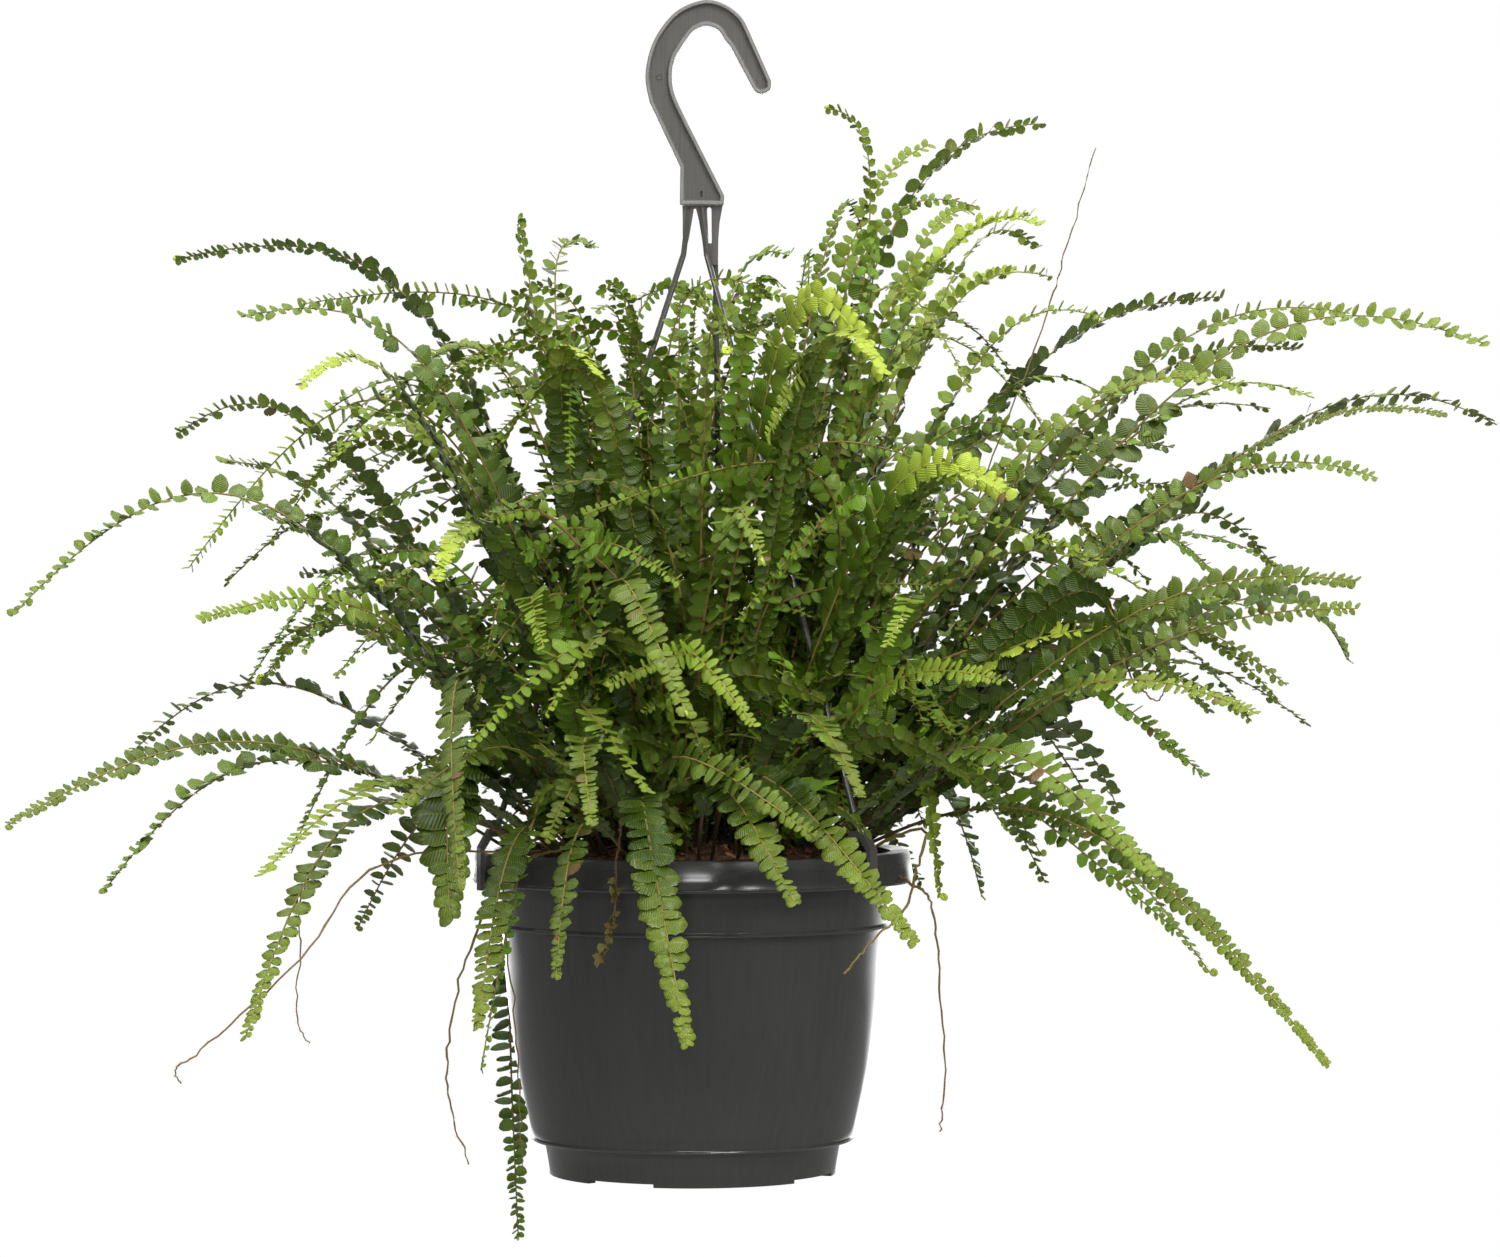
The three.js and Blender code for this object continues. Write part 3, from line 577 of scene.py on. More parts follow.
def add_frond(gathering, midrib, leaflet, settings, look, rng):
    """A frond: its midrib, and leaflets that stand alternately on both sides of it. Its look says how bright
    it is, how lime its young end and how wild, each from 0 to 1, how far its two rows fold up from the blade,
    in degrees, and what differs from the usual look."""
    look = {**USUAL_LOOK, **look}
    midrib.measure()
    length = midrib.length
    bare = min(0.5, look["stipe"] / length)
    steps = max(12, int(length / 8))
    shares = np.linspace(0, 1, steps)
    place, forward, across, up = midrib.frames(shares)
    radii = STIPE_RADIUS * (1 - 0.68 * shares)
    # The brightness is a painted light and shade: the frond's place in the plant sets how lit or shaded it
    # looks.
    brightness, lime, wild = look["bright"], look["lime"], look["wild"]
    tube_state = np.stack([smoothstep(shares, 0.02, 0.5), lime * smoothstep(shares, 0.6, 1.0),
                           0.7 - 0.7 * smoothstep(shares, 0.1, 0.6), np.ones(steps)], axis=1)
    add_tube(gathering, place, across, up, radii, 5, STALK, tube_state)
    spacing = settings.spacing * look["sparse"]

    stations, sides, sizes = [], [], []
    at, side = bare * length, 1
    while at < length - 0.6:
        share = (at / length - bare) / (1 - bare)
        size = float(leaflet_length(share, midrib.longest)) * look["size"]
        if rng.uniform() > 0.025 + 0.12 * wild * (1 - share):
            stations.append(at / length)
            sides.append(side)
            sizes.append(size)
        at += max(size * spacing * (0.8 + 0.45 * share) / 2 * rng.uniform(0.8, 1.2), 0.6)
        side = -side
    stations, sides, sizes = np.array(stations), np.array(sides, float), np.array(sizes)
    count = len(stations)
    leafy = (stations - bare) / (1 - bare)
    place, forward, across, up = midrib.frames(stations)
    jitter = settings.unruliness * (0.4 + wild)
    sweep = math.radians(12) + math.radians(24) * smoothstep(leafy, 0.7, 1.0)
    sweep = sweep + rng.normal(0, jitter * 0.4, count)
    lift = math.radians(look["fold"]) * (1 + 0.5 * drifting(leafy, rng)) + rng.normal(0, jitter * 0.6, count)
    # Each leaflet laps over the next, so it is tipped a little about its own length.
    twist = math.radians(look["lap"]) + math.radians(30) * wild * drifting(leafy, rng)
    twist = (twist + rng.normal(0, jitter * 0.7, count)) * sides
    out = across * sides[:, None]
    blade_x = out * np.cos(sweep)[:, None] + forward * np.sin(sweep)[:, None]
    blade_x, blade_z = (blade_x * np.cos(lift)[:, None] + up * np.sin(lift)[:, None],
                        up * np.cos(lift)[:, None] - blade_x * np.sin(lift)[:, None])
    blade_y = np.cross(blade_z, blade_x)
    # It also turns about its length until its face looks part of the way up to the light.
    skyward = UP - blade_x * (blade_x @ UP)[:, None]
    to_light = -np.arctan2((skyward * blade_y).sum(axis=1), (skyward * blade_z).sum(axis=1))
    twist += look["facing"] * np.clip(to_light, -1.8, 1.8)
    blade_y, blade_z = (blade_y * np.cos(twist)[:, None] + blade_z * np.sin(twist)[:, None],
                        blade_z * np.cos(twist)[:, None] - blade_y * np.sin(twist)[:, None])
    # A leaflet's front edge faces the frond's tip on both sides.
    blade_y *= sides[:, None]
    sizes = sizes * rng.uniform(0.8, 1.12, count)
    widths = sizes * settings.width * look["round"] * rng.uniform(0.88, 1.12, count)
    shape, faces, uv = leaflet
    local = shape[None] * np.stack([sizes, widths, sizes], axis=1)[:, None]
    dome = settings.dome * (1 - 1.4 * wild * rng.uniform(0, 1, count)) * sizes
    curl = settings.dome * rng.uniform(-0.4, 1.6, count) * sizes
    local[:, :, 2] -= (uv[:, 1] * 2 - 1)[None] ** 2 * dome[:, None] + (uv[:, 0] ** 2)[None] * curl[:, None]
    points = (place[:, None] + local[:, :, :1] * blade_x[:, None] + local[:, :, 1:2] * blade_y[:, None]
              + local[:, :, 2:] * blade_z[:, None])
    corners = len(shape)
    turned_over = sides < 0
    all_faces = faces[None] + corners * np.arange(count)[:, None, None]
    all_faces[turned_over] = all_faces[turned_over][:, :, ::-1]
    # Tone is the frond's painted light and shade with random drift, and it grows darker towards the frond's
    # base, where leaflets are older and painted shade falls in the crowd.
    tone = brightness + rng.normal(0, 0.12, count) + 0.12 * drifting(leafy, rng) - 0.3 * (0.7 - leafy)
    youth = (lime * smoothstep(leafy, look["young_from"], look["young_from"] + 0.3) * 1.15
             + 0.15 * smoothstep(leafy, 0.7, 1.0))
    wither = (rng.uniform(0, 1, count) < 0.006) * rng.uniform(0.4, 1.0, count)
    # How free the leaflets are of waxy bloom and painted sheen.
    without_wax_and_sheen = np.full(count, 1 - look["bloom"])
    state = np.stack([np.clip(tone, 0, 1), np.clip(youth, 0, 1), wither, without_wax_and_sheen], axis=1)
    gathering.add(points.reshape(-1, 3), all_faces.reshape(-1, faces.shape[1]), LEAF,
                  np.repeat(state, corners, axis=0), np.tile(uv, (count, 1)))
    add_hairs(gathering, midrib, int(settings.hairs * look["hairs"]), settings.hair_length, rng)
    if look["coil"]:
        add_coil(gathering, midrib, look["coil"], rng)


def add_coil(gathering, midrib, size, rng):
    """The unrolling tip of a young frond: a small tight coil on the upper side."""
    end, forward, across, up = (vector[0] for vector in midrib.frames([1.0]))
    turns = np.linspace(0, rng.uniform(1.3, 1.9) * 2 * math.pi, 16)
    radii = size * (1 - 0.72 * turns / turns[-1])
    middle = end + up * size
    heading = forward[None] * np.cos(turns)[:, None] + up[None] * np.sin(turns)[:, None]
    out = -up[None] * np.cos(turns)[:, None] + forward[None] * np.sin(turns)[:, None]
    line = middle + out * radii[:, None]
    thick = size * (0.3 + 0.12 * np.sin(np.linspace(0, math.pi, len(turns))))
    add_tube(gathering, line, np.tile(across, (len(turns), 1)), unit(np.cross(across[None], heading)), thick,
             7, LEAF, (0.8, 1.0, 0, 1))


# Modelling with Blender's own tools

def clear_selection():
    if bpy.context.object and bpy.context.object.mode != "OBJECT":
        bpy.ops.object.mode_set(mode="OBJECT")
    bpy.ops.object.select_all(action="DESELECT")


def only(piece):
    clear_selection()
    piece.select_set(True)
    bpy.context.view_layer.objects.active = piece


def deselect_mesh(piece, kind):
    """Leaves edit mode with nothing of the mesh selected, and one kind of element to select by."""
    only(piece)
    bpy.ops.object.mode_set(mode="EDIT")
    bpy.ops.mesh.select_mode(type=kind)
    bpy.ops.mesh.select_all(action="DESELECT")
    bpy.ops.object.mode_set(mode="OBJECT")


def select_vertices(piece, wanted):
    """Selects, in edit mode, the vertices whose place passes a test."""
    deselect_mesh(piece, "VERT")
    for vertex in piece.data.vertices:
        vertex.select = bool(wanted(vertex.co))
    bpy.ops.object.mode_set(mode="EDIT")


def select_faces(piece, wanted):
    """Selects, in edit mode, the faces whose centre and normal pass a test."""
    deselect_mesh(piece, "FACE")
    for face in piece.data.polygons:
        face.select = bool(wanted(face.center, face.normal))
    bpy.ops.object.mode_set(mode="EDIT")


def finish_piece(piece, materials, smooth=30):
    """Normals outward, place in the mesh, smooth but for real edges, and its materials."""
    only(piece)
    bpy.ops.object.transform_apply(location=True, rotation=True, scale=True)
    bpy.ops.object.mode_set(mode="EDIT")
    bpy.ops.mesh.select_all(action="SELECT")
    bpy.ops.mesh.remove_doubles(threshold=0.00001)
    bpy.ops.mesh.normals_make_consistent(inside=False)
    bpy.ops.object.mode_set(mode="OBJECT")
    bpy.ops.object.shade_smooth_by_angle(angle=math.radians(smooth))
    piece.data.materials.clear()
    for material in materials:
        piece.data.materials.append(material)


def add_modifier(piece, kind, **settings):
    only(piece)
    modifier = piece.modifiers.new(kind.title(), kind)
    for key, value in settings.items():
        setattr(modifier, key, value)
    bpy.ops.object.modifier_apply(modifier=modifier.name)


def leaflet_outline(detail):
    """Where along a leaflet of unit length its outline is set, and how far its front and back edges stand off
    there. A plain leaflet has few such places, and a scalloped one's edges are notched between them."""
    if detail == "plain":
        return np.array(((0.0, 0.3, 0.12), (0.25, 0.5, 0.47), (0.72, 0.45, 0.37), (1.0, 0.12, 0.02))).T
    places = ((0.0, 0.32, 0.14), (0.17, 0.5, 0.44), (0.5, 0.52, 0.5), (0.82, 0.37, 0.31), (1.0, 0.1, 0.02))
    if detail == "smooth":
        return np.array(places).T
    outline = catmull_rom(places, 2)
    outline[:, 1:] *= 1.04
    outline[1::2, 1:] *= 0.86
    return outline.T


def model_leaflet(settings, detail):
    """One leaflet of unit length along +X, widest near its middle and leaning to the frond's tip: a small
    grid shaped round, thickened at its middle and closed along its thin edge. Its points, faces and map are
    copied for every leaflet of the plant. Its detail is plain, smooth or scalloped."""
    stations, ahead, behind = leaflet_outline(detail)
    last = len(stations) - 1
    clear_selection()
    bpy.ops.mesh.primitive_grid_add(x_subdivisions=last, y_subdivisions=2, size=1, location=(0.5, 0, 0))
    leaf = bpy.context.object
    bpy.ops.object.transform_apply(location=True, rotation=False, scale=False)
    for i, (station, front, back) in enumerate(zip(stations, ahead, behind)):
        select_vertices(leaf, lambda place: abs(place.x - i / last) < 0.01)
        bpy.ops.transform.resize(value=(1, front + back, 1), center_override=(i / last, 0, 0))
        bpy.ops.transform.translate(value=(station - i / last + 10, (front - back) / 2, 0))
    bpy.ops.mesh.select_all(action="SELECT")
    bpy.ops.transform.translate(value=(-10, 0, 0))
    bpy.ops.object.mode_set(mode="OBJECT")

    def across(point):
        front, back = np.interp(point.x, stations, ahead), np.interp(point.x, stations, behind)
        return (point.y + back) / (front + back)

    inside = leaf.vertex_groups.new(name="inside")
    for vertex in leaf.data.vertices:
        if 0.01 < across(vertex.co) < 0.99 and 0.01 < vertex.co.x < 0.99:
            inside.add([vertex.index], 1.0, "REPLACE")
    add_modifier(leaf, "SOLIDIFY", thickness=settings.thickness, offset=0, use_rim=False,
                 vertex_group="inside", thickness_vertex_group=0)
    only(leaf)
    bpy.ops.object.mode_set(mode="EDIT")
    bpy.ops.mesh.select_all(action="SELECT")
    bpy.ops.mesh.remove_doubles(threshold=0.001)
    bpy.ops.object.mode_set(mode="OBJECT")
    points = np.array([vertex.co[:] for vertex in leaf.data.vertices])
    faces = np.array([list(face.vertices) for face in leaf.data.polygons])
    uv = np.array([(vertex.co.x, across(vertex.co)) for vertex in leaf.data.vertices])
    bpy.data.objects.remove(leaf)
    return points, faces, uv


def draw_up(rings):
    """Extrudes a disc, in edit mode, through rings given by their radius and height from the crown."""
    radius, height = rings[0]
    for next_radius, next_height in rings[1:]:
        rise = (0, 0, (next_height - height) * MM)
        bpy.ops.mesh.extrude_region_move(TRANSFORM_OT_translate={"value": rise})
        scale = next_radius / radius
        bpy.ops.transform.resize(value=(scale, scale, 1),
                                 center_override=(CROWN[0] * MM, 0, (CROWN[2] + next_height) * MM))
        radius, height = next_radius, next_height


def dimmed(colour, share):
    """A colour with that share of its light."""
    return tuple(channel * share for channel in colour[:3]) + (1.0,)


# Materials

def add_node(tree, kind, values=None, links=None, **settings):
    """Adds a node: settings are its own properties, values its sockets' values, links what feeds them."""
    made = tree.nodes.new(kind)
    for key, value in settings.items():
        setattr(made, key, value)
    for key, value in (values or {}).items():
        made.inputs[key].default_value = value
    for key, source in (links or {}).items():
        tree.links.new(source, made.inputs[key])
    return made


def new_material(name):
    material = bpy.data.materials.new(name)
    material.use_nodes = True
    tree = material.node_tree
    surface = tree.nodes["Principled BSDF"]
    return material, tree, surface


def fern_leaf(colours):
    # Living leaf: a thin waxy skin over green flesh, so satin, with pale edges and fine forked veins.
    material, tree, surface = new_material("living_fern_leaf")
    state = add_node(tree, "ShaderNodeAttribute", attribute_name="leaf_state")
    parts = add_node(tree, "ShaderNodeSeparateColor", links={"Color": state.outputs["Color"]})
    where = add_node(tree, "ShaderNodeTexCoord").outputs["Object"]
    # Over about 45 mm the leaf grows a little lighter and darker, as fronds in sun and shade do.
    drift = add_node(tree, "ShaderNodeTexNoise", {"Scale": 22.0, "Detail": 3.0}, {"Vector": where})
    tone = add_node(tree, "ShaderNodeMath", {1: 0.35}, {0: drift.outputs["Fac"], 2: parts.outputs["Red"]},
                    operation="MULTIPLY_ADD")
    # The state's tone is each frond's painted light and shade, so this ramp paints it from a deep-shade green
    # through the leaf colours to the lit one.
    shade = add_node(tree, "ShaderNodeValToRGB", links={"Fac": tone.outputs[0]})
    ramp = shade.color_ramp
    ramp.elements[0].position, ramp.elements[0].color = 0.3, colours.dark
    ramp.elements[1].position, ramp.elements[1].color = 1.05, colours.bright
    # Below the old leaf colour lies a deeper green, the painted shade of fronds deep in the plant.
    red, green, blue = colours.dark[:3]
    ramp.elements.new(0.14).color = (red * 0.42, green * 0.6, blue * 0.45, 1.0)
    ramp.elements.new(0.66).color = colours.middle
    # Outer fronds are mixed towards the bloom colour: a dull waxy bloom and a painted sheen of the white
    # surround.
    dull = add_node(tree, "ShaderNodeMath", {0: 1.0}, {1: state.outputs["Alpha"]}, operation="SUBTRACT")
    waxed_and_sheened = add_node(tree, "ShaderNodeMix", {"B": colours.bloom},
                     {"Factor": dull.outputs[0], "A": shade.outputs["Color"]}, data_type="RGBA")
    young = add_node(tree, "ShaderNodeMix", {"B": colours.lime},
                     {"Factor": parts.outputs["Green"], "A": waxed_and_sheened.outputs["Result"]}, data_type="RGBA")
    # The leaflet's own map runs along it in u and across it in v.
    own = add_node(tree, "ShaderNodeUVMap", uv_map="leaf_map")
    axes = add_node(tree, "ShaderNodeSeparateXYZ", links={"Vector": own.outputs["UV"]})
    off = add_node(tree, "ShaderNodeMath", {1: 0.5}, {0: axes.outputs["Y"]}, operation="SUBTRACT")
    off = add_node(tree, "ShaderNodeMath", links={0: off.outputs[0]}, operation="ABSOLUTE")
    # Side veins leave the middle at every ninth of the length, so about 1 mm apart. Real ones are half as
    # far apart, which is too fine to show.
    fork = add_node(tree, "ShaderNodeMath", {1: -0.5}, {0: off.outputs[0], 2: axes.outputs["X"]},
                    operation="MULTIPLY_ADD")
    wave = add_node(tree, "ShaderNodeMath", {1: 57.0}, {0: fork.outputs[0]}, operation="MULTIPLY")
    wave = add_node(tree, "ShaderNodeMath", links={0: wave.outputs[0]}, operation="SINE")
    vein = add_node(tree, "ShaderNodeMapRange", {"From Min": 0.6, "From Max": 1.0, "To Max": 0.12},
                    {"Value": wave.outputs[0]})
    middle_vein = add_node(tree, "ShaderNodeMapRange", {"From Min": 0.05, "From Max": 0.0, "To Max": 0.2},
                           {"Value": off.outputs[0]})
    rim = add_node(tree, "ShaderNodeMapRange", {"From Min": 0.44, "From Max": 0.5, "To Max": 0.11},
                   {"Value": off.outputs[0]})
    far = add_node(tree, "ShaderNodeMapRange", {"From Min": 0.9, "From Max": 1.0, "To Max": 0.12},
                   {"Value": axes.outputs["X"]})
    pale = rim
    for mark in (far, middle_vein, vein):
        pale = add_node(tree, "ShaderNodeMath", links={0: pale.outputs[0], 1: mark.outputs[0]},
                        operation="MAXIMUM")
    edged = add_node(tree, "ShaderNodeMix", {"B": colours.lime},
                     {"Factor": pale.outputs[0], "A": young.outputs["Result"]}, data_type="RGBA")
    withered = add_node(tree, "ShaderNodeMix", {"B": colours.dry},
                        {"Factor": parts.outputs["Blue"], "A": edged.outputs["Result"]}, data_type="RGBA")
    tree.links.new(withered.outputs["Result"], surface.inputs["Base Color"])
    surface.inputs["Roughness"].default_value = 0.4
    surface.inputs["IOR"].default_value = 1.42
    surface.inputs["Coat Weight"].default_value = 0.2
    surface.inputs["Coat Roughness"].default_value = 0.2
    bump = add_node(tree, "ShaderNodeBump", {"Strength": 0.5, "Distance": 0.0003},
                    {"Height": wave.outputs[0]})
    tree.links.new(bump.outputs["Normal"], surface.inputs["Normal"])
    return material


def fern_midrib(colours):
    # Living midrib: a wiry green-brown stalk, browner and then near black towards the soil.
    material, tree, surface = new_material("living_fern_midrib")
    state = add_node(tree, "ShaderNodeAttribute", attribute_name="leaf_state")
    parts = add_node(tree, "ShaderNodeSeparateColor", links={"Color": state.outputs["Color"]})
    where = add_node(tree, "ShaderNodeTexCoord").outputs["Object"]
    # Mottled every 3 mm or so, where scales have worn off.
    mottle = add_node(tree, "ShaderNodeTexNoise", {"Scale": 300.0, "Detail": 2.0}, {"Vector": where})
    brown = add_node(tree, "ShaderNodeMath", {1: 0.35}, {0: mottle.outputs["Fac"], 2: parts.outputs["Blue"]},
                     operation="MULTIPLY_ADD")
    mixed = add_node(tree, "ShaderNodeMix", {"A": colours.midrib, "B": colours.dry},
                     {"Factor": brown.outputs[0]}, data_type="RGBA", clamp_factor=True)
    shaded = add_node(tree, "ShaderNodeMix", {"A": linear("#2B2318")},
                      {"Factor": parts.outputs["Red"], "B": mixed.outputs["Result"]}, data_type="RGBA")
    young = add_node(tree, "ShaderNodeMix", {"B": colours.lime},
                     {"Factor": parts.outputs["Green"], "A": shaded.outputs["Result"]}, data_type="RGBA")
    tree.links.new(young.outputs["Result"], surface.inputs["Base Color"])
    surface.inputs["Roughness"].default_value = 0.6
    return material


def fern_hair():
    # Hair: fine, dry and pale, so it catches light.
    material, _, surface = new_material("pale_fern_hair")
    surface.inputs["Base Color"].default_value = linear("#B9A983")
    surface.inputs["Roughness"].default_value = 0.7
    return material


def moulded_plastic(name, colour, roughness, streak_scale, streaky):
    # Moulded polypropylene: a smooth dark skin with faint upright drag marks from the mould, and dust.
    material, tree, surface = new_material(name)
    where = add_node(tree, "ShaderNodeTexCoord").outputs["Object"]
    # The marks are about 2 mm wide on the pot and under 1 mm on the hanger, and fifty times as long.
    stretched = add_node(tree, "ShaderNodeMapping", {"Scale": (1.0, 1.0, 0.02)}, {"Vector": where})
    streaks = add_node(tree, "ShaderNodeTexNoise", {"Scale": streak_scale, "Detail": 6.0, "Roughness": 0.65},
                       {"Vector": stretched.outputs["Vector"]})
    # Dust dulls it in patches of about 17 mm.
    dust = add_node(tree, "ShaderNodeTexNoise", {"Scale": 60.0, "Detail": 8.0, "Roughness": 0.7},
                    {"Vector": where})
    lighter = tuple(min(1.0, channel * (1 + streaky) + 0.002) for channel in colour[:3]) + (1.0,)
    tint = add_node(tree, "ShaderNodeValToRGB", links={"Fac": streaks.outputs["Fac"]})
    low, high = tint.color_ramp.elements
    low.position, low.color = 0.35, tuple(colour)
    high.position, high.color = 0.75, lighter
    tree.links.new(tint.outputs["Color"], surface.inputs["Base Color"])
    rough = add_node(tree, "ShaderNodeMapRange",
                     {"From Min": 0.3, "From Max": 0.8, "To Min": roughness - 0.05,
                      "To Max": roughness + 0.1},
                     {"Value": dust.outputs["Fac"]})
    # The rim, where the pot is handled, is scuffed duller.
    height = add_node(tree, "ShaderNodeSeparateXYZ", links={"Vector": where})
    scuffed = add_node(tree, "ShaderNodeMapRange", {"From Min": -0.342, "From Max": -0.338, "To Max": 0.16},
                       {"Value": height.outputs["Z"]})
    rough = add_node(tree, "ShaderNodeMath", links={0: rough.outputs[0], 1: scuffed.outputs[0]},
                     operation="ADD")
    tree.links.new(rough.outputs[0], surface.inputs["Roughness"])
    surface.inputs["IOR"].default_value = 1.49
    bump = add_node(tree, "ShaderNodeBump", {"Strength": 0.16 * streaky, "Distance": 0.0001},
                    {"Height": streaks.outputs["Fac"]})
    tree.links.new(bump.outputs["Normal"], surface.inputs["Normal"])
    return material


def moist_peat(colour):
    # Peat: dark, open and crumbly, with lighter fibres.
    material, tree, surface = new_material("moist_peat")
    where = add_node(tree, "ShaderNodeTexCoord").outputs["Object"]
    # Crumbs of about 2.4 mm, with finer grit in them.
    grain = add_node(tree, "ShaderNodeTexNoise", {"Scale": 420.0, "Detail": 8.0, "Roughness": 0.75},
                     {"Vector": where})
    tint = add_node(tree, "ShaderNodeValToRGB", links={"Fac": grain.outputs["Fac"]})
    low, high = tint.color_ramp.elements
    low.position, low.color = 0.35, dimmed(colour, 0.45)
    high.position, high.color = 0.72, linear("#87603F")
    tree.links.new(tint.outputs["Color"], surface.inputs["Base Color"])
    surface.inputs["Roughness"].default_value = 0.95
    bump = add_node(tree, "ShaderNodeBump", {"Strength": 0.9, "Distance": 0.001},
                    {"Height": grain.outputs["Fac"]})
    tree.links.new(bump.outputs["Normal"], surface.inputs["Normal"])
    return material


def bark_fibre():
    # Bark and root fibre: dry and torn, so matt and orange-brown, in lighter and darker slivers.
    material, tree, surface = new_material("bark_fibre")
    where = add_node(tree, "ShaderNodeTexCoord").outputs["Object"]
    # Each sliver is 2 to 9 mm long, and its colour changes over about 4 mm.
    grain = add_node(tree, "ShaderNodeTexNoise", {"Scale": 250.0, "Detail": 5.0}, {"Vector": where})
    tint = add_node(tree, "ShaderNodeValToRGB", links={"Fac": grain.outputs["Fac"]})
    low, high = tint.color_ramp.elements
    low.position, low.color = 0.3, linear("#5A3820")
    high.position, high.color = 0.7, linear("#B98253")
    tree.links.new(tint.outputs["Color"], surface.inputs["Base Color"])
    surface.inputs["Roughness"].default_value = 0.9
    return material


def studio_paper():
    # Background paper: white and matt, and lit evenly beyond the plant so that it shows no horizon.
    material, tree, surface = new_material("white_studio_paper")
    surface.inputs["Base Color"].default_value = linear("#F4F4F2")
    surface.inputs["Roughness"].default_value = 0.95
    where = add_node(tree, "ShaderNodeTexCoord").outputs["Object"]
    flat = add_node(tree, "ShaderNodeVectorMath", {1: (1, 1, 0)}, {0: where}, operation="MULTIPLY")
    far = add_node(tree, "ShaderNodeVectorMath", links={0: flat.outputs[0]}, operation="LENGTH")
    lit = add_node(tree, "ShaderNodeMapRange",
                   {"From Min": 0.1, "From Max": 0.5, "To Min": 0.55, "To Max": 1.0},
                   {"Value": far.outputs["Value"]}, interpolation_type="SMOOTHSTEP")
    # It looks white, but throws only part of that light up at the plant, and behind the plant it gleams in
    # glossy edges.
    path = add_node(tree, "ShaderNodeLightPath")
    axes = add_node(tree, "ShaderNodeSeparateXYZ", links={"Vector": where})
    behind = add_node(tree, "ShaderNodeMapRange",
                      {"From Min": 1.0, "From Max": 2.2, "To Min": 0.0, "To Max": 4.0},
                      {"Value": axes.outputs["Y"]})
    seen = add_node(tree, "ShaderNodeMath", {1: 0.65, 2: 0.35}, {0: path.outputs["Is Camera Ray"]},
                    operation="MULTIPLY_ADD")
    seen = add_node(tree, "ShaderNodeMath", operation="MULTIPLY_ADD",
                    links={0: path.outputs["Is Glossy Ray"], 1: behind.outputs[0], 2: seen.outputs[0]})
    glow = add_node(tree, "ShaderNodeEmission", {"Color": (1, 1, 1, 1)}, {"Strength": seen.outputs[0]})
    mixed = add_node(tree, "ShaderNodeMixShader",
                     links={0: lit.outputs[0], 1: surface.outputs[0], 2: glow.outputs[0]})
    tree.links.new(mixed.outputs[0], tree.nodes["Material Output"].inputs["Surface"])
    return material


def plant_materials(scene):
    """The three materials that every frond shares, made once."""
    names = ("living_fern_leaf", "living_fern_midrib", "pale_fern_hair")
    made = [bpy.data.materials.get(name) for name in names]
    if all(made):
        return made
    colours = scene.fern_colours
    return [fern_leaf(colours), fern_midrib(colours), fern_hair()]


# Operators

